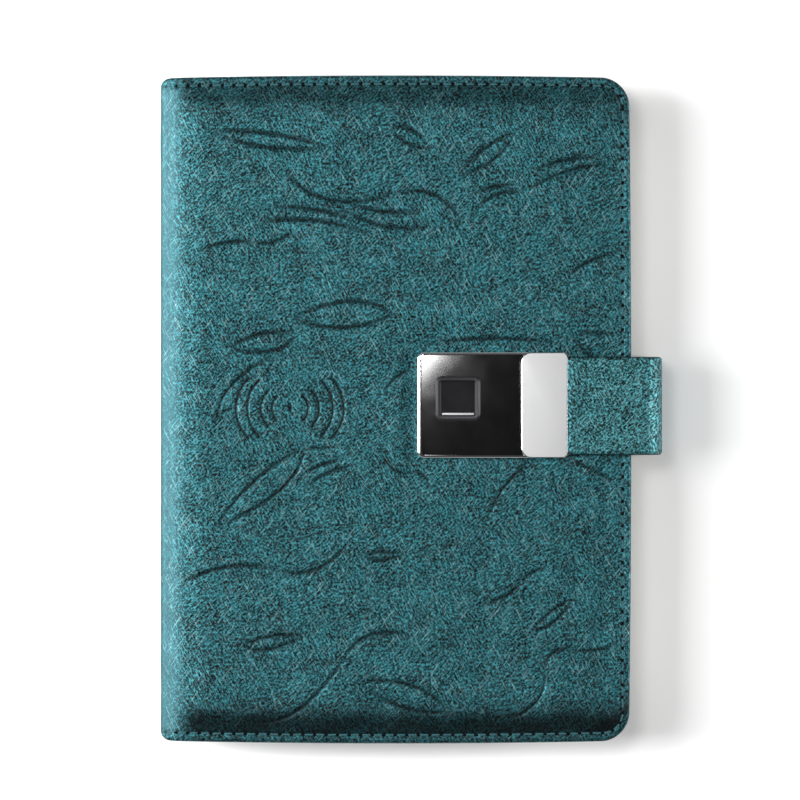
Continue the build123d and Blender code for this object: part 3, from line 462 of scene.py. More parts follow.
def layered_paint(name, dark, light, pitch):
    """A stack of sheets seen from its edge: uneven fine lines along the height."""
    paint = Paint(name, light, 0.8)
    lines = paint.noise(paint.place("Object", (12.0, 12.0, 1.0 / (pitch * MM))), 1.0, 3.0, 0.6)
    paint.feed("Base Color", paint.mix(paint.ramp(lines, 0.3, 0.7), dark, light))
    paint.bump(lines, 0.5, 0.12)
    return paint.material


def board_paint():
    """Green solder mask with a lighter trace pattern."""
    paint = Paint("circuit_green", srgb(18, 92, 56), 0.35)
    brick = paint.node("TexBrick", Scale=420.0, Mortar_Size=0.04, Color1=srgb(14, 84, 50),
                       Color2=srgb(16, 96, 58), Mortar=srgb(60, 150, 100))
    paint.link(paint.place("Object"), brick.inputs["Vector"])
    paint.feed("Base Color", brick.outputs["Color"])
    return paint.material


thread = thread_paint("thread", srgb(8, 42, 48), srgb(42, 98, 106))
pocket_thread = thread_paint("pocket_thread", srgb(70, 76, 80), srgb(132, 140, 144))
# near-black stand-in for the shade inside the stitch holes
hole_shade = plastic_paint("hole_shade", srgb(1, 5, 6), 0.9, 0.3, Specular_IOR_Level=0.1)
chrome = metal_paint("chrome", (0.88, 0.88, 0.9, 1), 0.07)
ring_steel = metal_paint("ring_steel", (0.78, 0.78, 0.8, 1), 0.16)
steel = metal_paint("steel", (0.6, 0.6, 0.62, 1), 0.32, 0.4)
copper = metal_paint("copper", (0.8, 0.42, 0.22, 1), 0.25)
foil = metal_paint("cell_foil", (0.75, 0.76, 0.78, 1), 0.3)
satin = plastic_paint("satin_metal", srgb(164, 164, 165), 0.5, 0.1, 3200.0, 0.15)
gloss_black = plastic_paint("gloss_black", (0.002, 0.002, 0.002, 1), 0.12, 0.0, 900.0, Specular_IOR_Level=1.0)
sensor_grey = plastic_paint("sensor_grey", srgb(44, 44, 46), 0.34, 0.1, 3000.0, 0.6)
sensor_black = plastic_paint("sensor_black", (0.004, 0.004, 0.005, 1), 0.14, 0.05, 3200.0)
black_plastic = plastic_paint("black_plastic", srgb(30, 30, 32), 0.5, 0.35, 1800.0)
ferrite = plastic_paint("ferrite", srgb(60, 58, 58), 0.7, 0.3)
light_lens = plastic_paint("light_lens", srgb(225, 235, 245), 0.3)
divider_plastic = plastic_paint("divider_plastic", srgb(190, 200, 203), 0.4, 0.2)
lining_cloth = woven_paint("lining_cloth", srgb(20, 24, 27), srgb(58, 64, 68))
foam = layered_paint("padding_foam", srgb(200, 200, 190), srgb(236, 236, 228), 0.6)
cover_board = layered_paint("cover_board", srgb(120, 108, 92), srgb(160, 148, 130), 0.4)
paper = layered_paint("paper", srgb(176, 168, 148), srgb(226, 221, 207), 0.16)
circuit_green = board_paint()

CAD_FINISH = {  # plain solids that keep their CAD shape, by finish
    lining_cloth: ["back_cover_lining", "spine_lining", "front_cover_lining", "document_pocket",
                   "card_pockets", "memo_pockets"],
    cover_board: ["back_cover_board", "spine_board", "front_cover_board"],
    foam: ["front_cover_foam"],
    paper: ["page_block"],
    divider_plastic: ["divider_ruler"],
    ring_steel: ["ring_rail", "rail_rivets", "ring_left_half", "ring_right_half", "ring_lever_top",
                 "ring_lever_bottom"],
    steel: ["lever_pins", "bank_usb_sockets", "bank_screws", "lock_usb_socket", "lock_motor",
            "lock_backplate", "lock_screws", "clip_striker_plate", "clip_rivets", "latch_bolt",
            "motor_screw"],
    copper: ["charging_coil"],
    ferrite: ["coil_ferrite"],
    foil: ["bank_cells", "lock_battery"],
    circuit_green: ["bank_circuit_board", "lock_circuit_board"],
    black_plastic: ["bank_case", "bank_cover", "bank_switch", "bank_button", "lock_base"],
    light_lens: ["bank_lights"],
}
for finish, names in CAD_FINISH.items():
    for node_name in names:
        slots = nodes[node_name].data.materials
        slots.clear()
        slots.append(finish)

# ---- leather skins ----
STITCH_INSET = 3.0
STITCH_PITCH_LONG = 4.27  # along the fore edge
STITCH_PITCH_SHORT = 4.0  # along the top and bottom
FORE_CORNER = 10.0
LEATHER_OUT = 1.0  # the leather turns over the boards' edges
EDGE_BOW = 0.9  # the padded edges bow out this much in the middle
MID_SPINE_Z = (spine_z0 + spine_z1) / 2
SKIN_CELL = 0.5
FINE_CELL = 0.3
SPINE_CORNER = 2.6
UPRIGHT = 0.99  # leather whose face looks along X by more than this share stands upright on the spine


def straight_half(x):
    """Half the cover's height at x, without its corners: the padded edges bow out a little."""
    middle = (spine_x + fore_x) / 2
    bow = EDGE_BOW * (1 - ((x - middle) / (fore_x - middle)) ** 2)
    return half_height + LEATHER_OUT - EDGE_BOW + bow


def half_height_at(x):
    """The cover's half height at x, with its corners."""
    past_fore = np.clip(x - (fore_x - FORE_CORNER), 0, FORE_CORNER)
    past_spine = np.clip(spine_x + SPINE_CORNER - x, 0, SPINE_CORNER)
    fore_cut = FORE_CORNER - np.sqrt(FORE_CORNER ** 2 - past_fore ** 2)
    spine_cut = SPINE_CORNER - np.sqrt(SPINE_CORNER ** 2 - past_spine ** 2)
    return straight_half(x) - fore_cut - spine_cut


def edge_distance(x, y):
    """How far points of the cover are inside its top, bottom and fore edges."""
    inner_x = fore_x - FORE_CORNER
    inner_y = straight_half(x) - FORE_CORNER
    corner = (x > inner_x) & (np.abs(y) > inner_y)
    radial = FORE_CORNER - np.hypot(x - inner_x, np.abs(y) - inner_y)
    straight = np.minimum(fore_x - x, half_height_at(np.minimum(x, inner_x)) - np.abs(y))
    return np.where(corner, radial, straight)


def smooth(value):
    """An S-curve from 0 to 1."""
    share = np.clip(value, 0.0, 1.0)
    return share * share * (3 - 2 * share)


# the debossed charging sign: a dot between pairs of arcs
SIGN_X = (coil_x0 + coil_x1) / 2
SIGN_Y = (coil_y0 + coil_y1) / 2
SIGN_ARCS = [(6.3, 4.2), (10.2, 6.0), (15.0, 9.8), (18.9, 10.5)]  # reach from the dot, half height
SIGN_LINE = 0.5  # half width of a line
SIGN_DOT = 0.75
SIGN_BULGE = 0.42  # an arc's sagitta as a share of its half height


def arc_points(reach, half, side, count=15):
    """Points along one arc of the sign, bulging away from the dot."""
    sagitta = SIGN_BULGE * half
    radius = (half * half + sagitta * sagitta) / (2 * sagitta)
    spread = math.asin(half / radius)
    points = []
    for step in range(count):
        angle = -spread + 2 * spread * step / (count - 1)
        bulge = reach - radius + radius * math.cos(angle)
        points.append((SIGN_X + side * bulge, SIGN_Y + radius * math.sin(angle)))
    return points


def stroke_points(start, middle, end, count=22):
    """A curved stroke through three control points (a quadratic curve)."""
    points = []
    for step in range(count):
        t = step / (count - 1)
        points.append(tuple((1 - t) ** 2 * a + 2 * t * (1 - t) * b + t * t * c
                            for a, b, c in zip(start, middle, end)))
    return points


STROKE_SEED = 23
STROKE_COLUMNS = 5
STROKE_ROWS = 7
STROKE_STEP = (29.5, 30.5)  # one cell of the loose grid that they start from, mm
STROKE_START = (14, 10)  # from the spine and from the bottom edge to the first cell, mm
STROKE_LENGTHS = (12, 42)
STROKE_ANGLES = (0.5, 0.65, -0.3, 0.1)
BARE_SHARE = 0.04  # cells without a stroke
PAIRED_BELOW = 0.34  # what joins a stroke, by a draw from 0 to 1; the rest stay single
ECHOED_BELOW = 0.64
TAILED_BELOW = 0.92


def make_strokes():
    """Loose curved strokes pressed into the leather, single, paired like leaf edges or echoed, seeded."""
    chance = random.Random(STROKE_SEED)
    strokes = []
    for column in range(STROKE_COLUMNS):
        for row in range(STROKE_ROWS):
            if chance.random() < BARE_SHARE:
                continue
            x = spine_x + STROKE_START[0] + (column + chance.uniform(0.1, 0.9)) * STROKE_STEP[0]
            y = -half_height + STROKE_START[1] + (row + chance.uniform(0.1, 0.9)) * STROKE_STEP[1]
            angle = chance.choice(STROKE_ANGLES) + chance.uniform(-0.35, 0.35)
            reach = chance.uniform(*STROKE_LENGTHS)
            bend = chance.uniform(0.12, 0.45) * reach * chance.choice((1, -1))
            ahead = Vector((math.cos(angle), math.sin(angle)))
            side = Vector((-ahead.y, ahead.x))
            middle = Vector((x, y))
            lean = chance.uniform(-0.25, 0.25) * reach
            start, end = middle - ahead * reach / 2, middle + ahead * reach / 2
            strokes.append(stroke_points(start, middle + side * bend + ahead * lean, end))
            kind = chance.random()
            if kind < PAIRED_BELOW:
                strokes.append(stroke_points(start, middle - side * bend * 0.7, end))
            elif kind < ECHOED_BELOW:
                shift = side * chance.uniform(3.0, 5.0) - ahead * reach * 0.15
                strokes.append(stroke_points(start + shift, middle + shift + side * bend, end + shift)[6:])
            elif kind < TAILED_BELOW:
                tail = end + ahead * reach * 0.6 + side * bend * chance.uniform(0.2, 0.6)
                strokes.append(stroke_points(end, end + ahead * reach * 0.3 - side * bend * 0.5, tail))
    return strokes


GROOVE_REACH = 3  # a groove is worked out this far to each side of its line, mm


def line_depth(xs, ys, points, half_width, depth, taper=True):
    """Depth of a groove along a polyline, at arrays of places."""
    result = np.zeros_like(xs)
    total = len(points) - 1
    for index in range(total):
        (ax, ay), (bx, by) = points[index], points[index + 1]
        near = (xs > min(ax, bx) - GROOVE_REACH) & (xs < max(ax, bx) + GROOVE_REACH)
        near &= (ys > min(ay, by) - GROOVE_REACH) & (ys < max(ay, by) + GROOVE_REACH)
        if not near.any():
            continue
        px, py = xs[near], ys[near]
        length2 = max((bx - ax) ** 2 + (by - ay) ** 2, 1e-9)
        t = np.clip(((px - ax) * (bx - ax) + (py - ay) * (by - ay)) / length2, 0, 1)
        gap = np.hypot(px - ax - t * (bx - ax), py - ay - t * (by - ay))
        along = (index + t) / total
        strength = np.sin(np.pi * np.clip(along, 0.02, 0.98)) ** 0.5 if taper else 1.0
        profile = np.exp(-((gap / half_width) ** 2)) * strength
        result[near] = np.maximum(result[near], profile)
    return result * depth


STROKES = make_strokes()
STROKE_HALF_WIDTH = 0.55
STROKE_DEPTH = 0.6
PUFF = 1.7
FLANGE_DROP = 0.9
LOCK_DIMPLE = 0.6
STITCH_START = 1.6
CORNER_STITCHES = 3


def stitch_line():
    """The stitches along the top, bottom and fore edge, as (x, y, angle, pitch)."""
    spots = []
    first_x = spine_x + STITCH_START
    length = fore_x - FORE_CORNER - first_x
    count = round(length / STITCH_PITCH_SHORT)
    radius = FORE_CORNER - STITCH_INSET
    for side in (-1, 1):
        for step in range(count):
            x = first_x + (step + 0.5) * length / count
            spots.append((x, side * (half_height_at(x) - STITCH_INSET), 0.0, length / count))
        for step in range(CORNER_STITCHES):
            angle = math.radians(90.0 * (step + 0.5) / CORNER_STITCHES)
            x = fore_x - FORE_CORNER + radius * math.sin(angle)
            y = straight_half(x) - FORE_CORNER + radius * math.cos(angle)
            spots.append((x, side * y, -side * angle, radius * math.radians(90.0) / CORNER_STITCHES))
    length = 2 * (half_height - EDGE_BOW - FORE_CORNER)
    count = round(length / STITCH_PITCH_LONG)
    for step in range(count):
        y = -length / 2 + (step + 0.5) * length / count
        spots.append((fore_x - STITCH_INSET, y, math.pi / 2, length / count))
    return spots


STITCHES = stitch_line()
RIM_WAVE = 0.05


def spaced(start, end, cell, fine_at=None, fine_cell=None):
    """Rising values from start to end, cell apart, or closer within a stretch."""
    values = [start]
    while values[-1] < end - 1e-6:
        here = values[-1]
        fine = fine_at and fine_at[0] <= here < fine_at[1]
        step = fine_cell if fine else cell
        if fine_at and here < fine_at[0]:
            step = min(step, fine_at[0] - here + 1e-6)
        values.append(min(end, here + step))
    return values


FORE_BOW = 0.8  # the fore edge's ends lie back this much
SPINE_CELL = 1.5
SIDE_LEVELS = ((0.25, 0.12), (0.6, 0.16), (0.9, 0.02), (1.0, -0.28))  # share of the depth, push outward in mm
EDGE_STEPS = (0.0, 0.12, 0.3, 0.55, 0.85, 1.2, 1.7, 2.2)


class Skin:
    """A cover's leather: a grid over the spine, round the fold and across the cover, closed inside."""

    def __init__(self, roll_width, roll_height, face_z, outward, cell, fine=None):
        self.columns = []
        self.outward = outward
        fold_x, fold_z = spine_x + roll_width, face_z - outward * roll_height
        spine_length = abs(fold_z - MID_SPINE_Z)
        for distance in spaced(0.0, spine_length, SPINE_CELL):
            z = MID_SPINE_Z + outward * distance
            self.columns.append((spine_x, z, -1.0, 0.0))
        turns = max(12, int(roll_width / cell * 1.6))
        for step in range(1, turns):
            angle = math.pi / 2 * step / turns
            x = fold_x - roll_width * math.cos(angle)
            z = fold_z + outward * roll_height * math.sin(angle)
            lean = Vector((-math.cos(angle) * roll_height, math.sin(angle) * roll_width)).normalized()
            self.columns.append((x, z, lean.x, outward * lean.y))
        flat_end = fore_x - EDGE_STEPS[-1]
        fine_x = (fine[0], fine[1]) if fine else None
        for x in spaced(fold_x, flat_end, cell, fine_x, FINE_CELL):
            self.columns.append((x, face_z, 0.0, outward))
        for inset in reversed(EDGE_STEPS[:-1]):
            self.columns.append((fore_x - inset, face_z, 0.0, outward))
        fine_y = (fine[2] / half_height, fine[3] / half_height) if fine else None
        span = spaced(-1.0, 1.0, cell / half_height, fine_y, FINE_CELL / half_height)
        self.rows = [(-1, e, 0) for e in EDGE_STEPS[:-1]] + [(0, 0, t) for t in span]
        self.rows += [(1, e, 0) for e in reversed(EDGE_STEPS[:-1])]
        column = np.array(self.columns)
        self.x, self.z, self.nx, self.nz = (column[:, k][:, None] for k in range(4))
        half = half_height_at(self.x)
        inner = half - EDGE_STEPS[-1]
        self.y = np.hstack([
            side * (half - e) if side else inner * t
            for side, e, t in self.rows
        ])
        self.half = half
        steps = np.hypot(np.diff(column[:, 0]), np.diff(column[:, 1]))
        self.along = np.concatenate([[0], np.cumsum(steps)])[:, None]
        self.edge = edge_distance(self.x + 0 * self.y, self.y)
        self.edge = np.minimum(self.edge, self.half - np.abs(self.y))

    def mesh(self, name, height, marks, edge_round, depth, hem_out):
        """The closed mesh: the face raised by height, its sides, and a plain inner face."""
        round_off = np.clip(edge_round - self.edge, 0, edge_round)
        drop = edge_round - np.sqrt(np.maximum(edge_round ** 2 - round_off ** 2, 0))
        rise = height - drop
        across = (self.x - spine_x) / (fore_x - spine_x)
        px = self.x + self.nx * rise - FORE_BOW * across ** 3 * (self.y / half_height) ** 2
        pz = self.z + self.nz * rise
        columns, rows = self.y.shape
        self.surface = np.stack([px, self.y, pz], axis=2).reshape(-1, 3)
        points = self.surface.tolist()
        uvs = np.stack([self.outward * self.along + 0 * self.y, self.y], axis=2).reshape(-1, 2).tolist()
        values = {key: grid.reshape(-1).tolist() for key, grid in marks.items()}
        faces = grid_faces(columns, rows)
        rim = [(i, 0) for i in range(columns)] + [(columns - 1, j) for j in range(1, rows)]
        rim += [(i, rows - 1) for i in range(columns - 2, -1, -1)]
        previous = [i * rows + j for i, j in rim]
        out = []
        for k, (i, j) in enumerate(rim):
            before = points[previous[max(0, k - 1)]]
            after = points[previous[min(len(rim) - 1, k + 1)]]
            tangent = Vector((after[0] - before[0], after[1] - before[1], 0))
            normal = Vector((tangent.y, -tangent.x, 0))
            vertical = abs(self.nx[i, 0])
            end = Vector((0, -1 if j == 0 else 1, 0)) if j in (0, rows - 1) else Vector((1, 0, 0))
            normal = normal.normalized() if normal.length > 1e-6 and vertical < 0.01 else end
            out.append(normal)
        for share, push in SIDE_LEVELS:
            ring = []
            for k, (i, j) in enumerate(rim):
                base = points[i * rows + j]
                deep = share * depth(self.x[i, 0], abs(self.nx[i, 0]))
                place = (base[0] - self.nx[i, 0] * deep + out[k].x * push * hem_out,
                         base[1] + out[k].y * push * hem_out,
                         base[2] - self.nz[i, 0] * deep)
                ring.append(len(points))
                points.append(place)
                u, v = uvs[i * rows + j]
                uvs.append((u + out[k].x * deep, v + out[k].y * deep))
                for numbers in values.values():
                    numbers.append(0.0)
            for k in range(len(rim) - 1):
                faces.append((previous[k], ring[k], ring[k + 1], previous[k + 1]))
            previous = ring
        # the inner face: one long strip between the two ends of each column, and the two ends
        last = len(rim) - 1
        for i in range(columns - 2):
            faces.append((previous[i], previous[last - i], previous[last - i - 1], previous[i + 1]))
        faces.append(tuple(previous[columns - 2:last - (columns - 2) + 1]))
        mesh = mesh_from(name, points, faces)
        store_on(mesh, uvs, values)
        return mesh

    def height_at(self, x, y):
        """The finished surface's nearest point to a place on the face."""
        flat = self.surface[self.surface[:, 0] > spine_x + 1.0]
        gap = (flat[:, 0] - x) ** 2 + (flat[:, 1] - y) ** 2
        return flat[int(np.argmin(gap)), 2]


def ripple(x, y, seed, size, count=9):
    """A smooth random relief of about unit height, from a few seeded waves of roughly one size."""
    chance = random.Random(seed)
    total = 0 * x
    for _ in range(count):
        angle = chance.uniform(0, math.pi)
        length = size * chance.uniform(0.6, 1.6)
        phase = chance.uniform(0, 2 * math.pi)
        total = total + np.sin((x * math.cos(angle) + y * math.sin(angle)) * 2 * math.pi / length + phase)
    return total / math.sqrt(count)


HOLE_RADIUS = 0.5
HOLE_DEPTH = 0.45
VALLEY_DEPTH = 0.22
VALLEY_WIDTH = 0.8


def stitch_dips(skin, x, y):
    """Dips where the thread goes through, and a shallow valley along the seam."""
    valley = VALLEY_DEPTH * np.exp(-((skin.edge - STITCH_INSET) / VALLEY_WIDTH) ** 2)
    valley = valley * smooth((x - spine_x - STITCH_START) / 2)
    holes = 0 * y
    for sx, sy, angle, pitch in STITCHES:
        for end in (-0.5, 0.5):
            hx = sx + math.cos(angle) * pitch * end
            hy = sy + math.sin(angle) * pitch * end
            gap2 = (x - hx) ** 2 + (y - hy) ** 2
            holes = np.maximum(holes, np.exp(-gap2 / HOLE_RADIUS ** 2))
    return valley + HOLE_DEPTH * holes, holes


# painted shade: the leather is darkened where the padding rolls down to the seam
SEAM_SHADE_RUN = 12.0
SEAM_SHADE_SIDES = (1.0, 0.5)  # along the bottom, along the top
SEAM_SHADE_WAVE = (31, 18.0)  # seed and size of its unevenness


def painted_seam_shade(skin, x, y):
    """Painted shade where the padding rolls down to the seam, most of all along the bottom."""
    inside = skin.half - np.abs(y) - STITCH_INSET
    band = (0.45 + 0.55 * smooth(inside / 0.8)) * (1 - smooth((inside - 3.0) / SEAM_SHADE_RUN))
    side = np.where(y < 0, *SEAM_SHADE_SIDES)
    uneven = 0.88 + 0.12 * ripple(x, y, *SEAM_SHADE_WAVE)
    return np.clip(band * side * uneven, 0, 1) * smooth((x - spine_x - 4.0) / 10.0)


PADDING_RUN = 9.0
PADDING_LEAD = 0.4  # the padding starts to rise this far outside the seam
SPINE_RUN = 15.0
WAVE_SIZES = ((5, 26.0), (8, 48.0))  # seed and size of the rim's unevenness and of the padding's
PADDING_WAVE = 0.10
LOCK_RUN = 7.0  # from the lock's edge the padding rises back to its full height over this
STRAP_DENT = 0.5
STRAP_RUN = 4.0  # and from the strap's edge over this
STROKE_EDGE = (5.0, 5.0)  # how far the strokes keep clear of the edge, and over what they fade in
STROKE_SPINE = (8.0, 6.0)
STROKE_SIGN = (19.5, 4.0)
STROKE_LOCK = (1.0, 3.0)
SIGN_OVAL = 1.5  # the space kept round the sign is this much wider than high
# how dark the painted shade in the pressed strokes is
STROKE_SHADE = 0.95
SIGN_DEPTH = 0.5


def front_relief(skin):
    """The front cover's height over its flat face: rim, padding, seam, pressed lines and sign."""
    x, y = skin.x + 0 * skin.y, skin.y
    flat = smooth((x - spine_x) / (upper_fold_x - spine_x)) * (np.abs(skin.nx) < UPRIGHT)
    padding = smooth((skin.edge - STITCH_INSET + PADDING_LEAD) / PADDING_RUN)
    padding = padding * smooth((x - spine_x - 1.0) / SPINE_RUN)
    height = -FLANGE_DROP * flat + PUFF * padding
    rim_wave, padding_wave = (ripple(x, y, *wave) for wave in WAVE_SIZES)
    height = height + RIM_WAVE * rim_wave + PADDING_WAVE * padding * padding_wave
    lock_gap = np.maximum.reduce([lock_x0 - x, x - lock_x1, lock_y0 - y, y - lock_y1])
    height = height - LOCK_DIMPLE * (1 - smooth(lock_gap / LOCK_RUN)) * flat
    strap_gap = np.maximum.reduce([clip_x1 - x, strap_y0 - y, y - strap_y1])
    height = height - STRAP_DENT * (1 - smooth(strap_gap / STRAP_RUN)) * padding
    dips, holes = stitch_dips(skin, x, y)
    height = height - dips * flat
    lines = 0 * y
    for points in STROKES:
        lines = np.maximum(lines, line_depth(x, y, points, STROKE_HALF_WIDTH, 1.0))
    # the strokes keep clear of the seam, the spine, the sign and the lock
    sign_gap = np.hypot(x - SIGN_X, (y - SIGN_Y) * SIGN_OVAL)
    for gap, (clear, run) in ((skin.edge, STROKE_EDGE), (x - spine_x, STROKE_SPINE), (sign_gap, STROKE_SIGN),
                              (lock_gap, STROKE_LOCK)):
        lines = lines * smooth((gap - clear) / run)
    sign = np.exp(-((np.hypot(x - SIGN_X, y - SIGN_Y) / SIGN_DOT) ** 4))
    for reach, half in SIGN_ARCS:
        for side in (-1, 1):
            arc = arc_points(reach, half, side)
            sign = np.maximum(sign, line_depth(x, y, arc, SIGN_LINE, 1.0, False))
    height = height - STROKE_DEPTH * lines - SIGN_DEPTH * sign
    # painted shade in the pressed lines, the sign and the stitch holes
    pressed = np.maximum.reduce([STROKE_SHADE * lines, sign, holes])
    stretched = (1 - smooth((x - spine_x - 1.5) / 9.0)) * smooth((skin.edge - 1.0) / 3.0)
    # the seam mark is painted shade along the top and bottom seams
    return height, {"pressed": pressed, "seam_shade": painted_seam_shade(skin, x, y), "stretched": stretched}


ROLL_WIDTH = 9.0  # the cover rolls over into the spine across this width
ROLL_HEIGHT = 5.0
COVER_DEPTH = 4.2  # the front leather's seam lies this far above its inner face, inside the lining
BOARD_DEPTH = 2.6  # the leather turned over the spine board reaches this deep, inside its lining


FINE_REACH = (20.5, 12.0)  # the finer cells reach this far from the sign's dot, along X and Y


def make_front_skin():
    """The front cover's leather, from the middle of the spine to the fore edge."""
    reach_x, reach_y = FINE_REACH
    fine = (SIGN_X - reach_x, SIGN_X + reach_x, SIGN_Y - reach_y, SIGN_Y + reach_y)
    skin = Skin(ROLL_WIDTH, ROLL_HEIGHT, front_top_z, 1.0, SKIN_CELL, fine)
    height, marks = front_relief(skin)

    def depth(x, upright):
        if upright > UPRIGHT:
            return BOARD_DEPTH
        return BOARD_DEPTH + (COVER_DEPTH - BOARD_DEPTH) * float(smooth((x - spine_x) / ROLL_WIDTH))

    mesh = skin.mesh("front_cover_skin", height, marks, edge_round=1.0, depth=depth, hem_out=1.0)
    piece = add_object("front_cover_skin", mesh, None, leather)
    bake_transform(piece)
    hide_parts("front_cover_leather", "upper_fold_leather")
    make_stitches(skin, "front_seam", "front_cover", 1.0)


def capsule(center, direction, length, radius, flat=1.0, sides=8):
    """Points and faces of a round-ended rod; flat squashes its height."""
    along = Vector(direction).normalized()
    side = Vector((-along.y, along.x, 0)).normalized()
    up = along.cross(side)
    stations = [(-length / 2, 0.35), (-length / 2 + 0.35 * radius, 0.8), (-length / 2 + radius, 1.0),
                (length / 2 - radius, 1.0), (length / 2 - 0.35 * radius, 0.8), (length / 2, 0.35)]
    rings = []
    for place, share in stations:
        ring = []
        for step in range(sides):
            angle = 2 * math.pi * step / sides
            offset = side * math.cos(angle) + up * math.sin(angle) * flat
            ring.append(tuple(Vector(center) + along * place + offset * radius * share))
        rings.append(ring)
    return loft(rings)


def join(parts):
    """One list of points and faces from several."""
    points, faces = [], []
    for more_points, more_faces in parts:
        start = len(points)
        points += more_points
        faces += [tuple(start + v for v in face) for face in more_faces]
    return points, faces


THREAD_RADIUS = 0.3
THREAD_SINK = 0.05
THREAD_SWAY = 0.05  # a stitch turns up to this much off the seam's line, radians
THREAD_FLAT = 0.7  # heights as a share of the width
HOLE_FLAT = 0.3
HOLE_SHARE = 0.7  # a stitch is shorter than the pitch by this share of a hole
HOLE_LENGTH = 1.5
HOLE_HALF_WIDTH = 0.5
HOLE_LIFT = -0.02


def make_stitches(skin, name, body, outward):
    """Thread lying between its holes, and dark capsules painted as the shade inside the pricked holes, all
    along a cover's seam.
    """
    chance = random.Random(len(name))
    threads, pricks = [], []
    for x, y, angle, pitch in STITCHES:
        z = skin.height_at(x, y)
        turn = angle + chance.uniform(-THREAD_SWAY, THREAD_SWAY)
        reach_x, reach_y = math.cos(angle) * pitch / 2, math.sin(angle) * pitch / 2
        rise = skin.height_at(x + reach_x, y + reach_y) - skin.height_at(x - reach_x, y - reach_y)
        ahead = (math.cos(turn), math.sin(turn), rise / pitch)
        rod = pitch - HOLE_LENGTH * HOLE_SHARE
        threads.append(capsule((x, y, z - outward * THREAD_SINK), ahead, rod, THREAD_RADIUS, THREAD_FLAT))
        hole_x, hole_y = x + reach_x, y + reach_y
        prick_z = z + rise / 2 + outward * HOLE_LIFT
        ahead = (math.cos(angle), math.sin(angle), 0)
        # dark capsules: painted shade in the holes
        pricks.append(capsule((hole_x, hole_y, prick_z), ahead, HOLE_LENGTH, HOLE_HALF_WIDTH, HOLE_FLAT))
    add_piece(name + "_thread", join(threads), body, thread)
    add_piece(name + "_holes", join(pricks), body, hole_shade)


def make_foam_pad():
    """The foam under the leather, pinched thin towards the seam."""
    box = (front_x0 + 3.0, fore_x - STITCH_INSET, -half_height + STITCH_INSET, half_height - STITCH_INSET)
    (_, _, foam_z0), (_, _, foam_z1) = mm_box("front_cover_foam")
    levels = [(2.0, foam_z0), (2.0, foam_z0 + 1.0), (4.0, foam_z1 - 0.8), (8.0, foam_z1 - 0.35)]
    slab("foam_pad", box, (FORE_CORNER,) * 4, levels, foam, "front_cover", "front_cover_foam")


BACK_CELL = 1.3
BACK_DEPTH = 2.45
BACK_RIM_DROP = 0.3
BACK_RIM_RUN = 5.0
BACK_WAVE = 0.06
BACK_WAVE_SIZE = (15, 40.0)  # seed and size
BACK_DIP_SHARE = 0.7  # its stitches pull in less than the front's
BACK_ROLL_DEPTH = 1.0


def make_back_skin():
    """The back cover's leather, from the middle of the spine round under the diary."""
    roll = lower_fold_x - spine_x
    skin = Skin(roll, roll, back_z0, -1.0, BACK_CELL)
    x, y = skin.x + 0 * skin.y, skin.y
    flat = smooth((x - spine_x) / (lower_fold_x - spine_x)) * (np.abs(skin.nx) < UPRIGHT)
    rim = 1 - smooth((skin.edge - STITCH_INSET + PADDING_LEAD) / BACK_RIM_RUN)
    height = -BACK_RIM_DROP * flat * rim - BACK_WAVE * flat * (1 + ripple(x, y, *BACK_WAVE_SIZE)) * 0.5
    dips, holes = stitch_dips(skin, x, y)
    height = height - BACK_DIP_SHARE * dips * flat

    def depth(x, upright):
        if upright > UPRIGHT:
            return BOARD_DEPTH
        return BACK_ROLL_DEPTH + (BACK_DEPTH - BACK_ROLL_DEPTH) * float(smooth((x - lower_fold_x) / 5.0))

    # the back carries painted shade only in its stitch holes
    marks = {"pressed": holes, "seam_shade": 0 * holes, "stretched": 0 * holes}
    mesh = skin.mesh("back_cover_skin", height, marks, edge_round=0.8, depth=depth, hem_out=0.8)
    piece = add_object("back_cover_skin", mesh, None, leather)
    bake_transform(piece)
    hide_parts("back_cover_leather", "lower_fold_leather", "spine_leather")
    make_stitches(skin, "back_seam", "back_cover", -1.0)


# ---- lock ----
APART = 1e-4  # keeps the points of a sharp corner from falling together, mm


def outline(x0, x1, y0, y1, radii, inset=0.0, steps=7):
    """A rectangle with rounded corners, counterclockwise from its lower left corner."""
    points = []
    corners = ((x0, y0, 180), (x1, y0, 270), (x1, y1, 0), (x0, y1, 90))
    for (x, y, start), radius in zip(corners, radii):
        toward_x = 1 if x == x0 else -1
        toward_y = 1 if y == y0 else -1
        center_x = x + toward_x * max(radius, inset)
        center_y = y + toward_y * max(radius, inset)
        small = max(radius - inset, 0.0)
        for step in range(steps):
            angle = math.radians(start + 90 * step / (steps - 1))
            points.append((center_x + small * math.cos(angle) + APART * math.cos(angle),
                           center_y + small * math.sin(angle) + APART * math.sin(angle)))
    return points


def outlines(box, radii, levels):
    """Rounded rectangles as rings of points, at (inset, height) levels."""
    return [[(x, y, z) for x, y in outline(*box, radii, inset)] for inset, z in levels]


def loft(rings, closed=True):
    """Points and faces through rings of equal length, capped at both ends unless it closes on itself."""
    count = len(rings[0])
    points = [p for ring in rings for p in ring]
    faces = []
    pairs = len(rings) if not closed else len(rings) - 1
    for level in range(pairs):
        low, high = level * count, ((level + 1) % len(rings)) * count
        for k in range(count):
            after = (k + 1) % count
            faces.append((low + k, low + after, high + after, high + k))
    if closed:
        faces.append(tuple(range(count))[::-1])
        faces.append(tuple(range(len(points) - count, len(points))))
    return points, faces


SHARP_TURN = 35  # degrees; the edges of hard pieces that turn more stay crisp


def slab(name, box, radii, levels, material, body, node):
    """A plate built up from rounded outlines at (inset, height) levels."""
    piece = add_piece(name, loft(outlines(box, radii, levels)), body, material)
    mark_sharp(piece.data, SHARP_TURN)
    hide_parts(node)


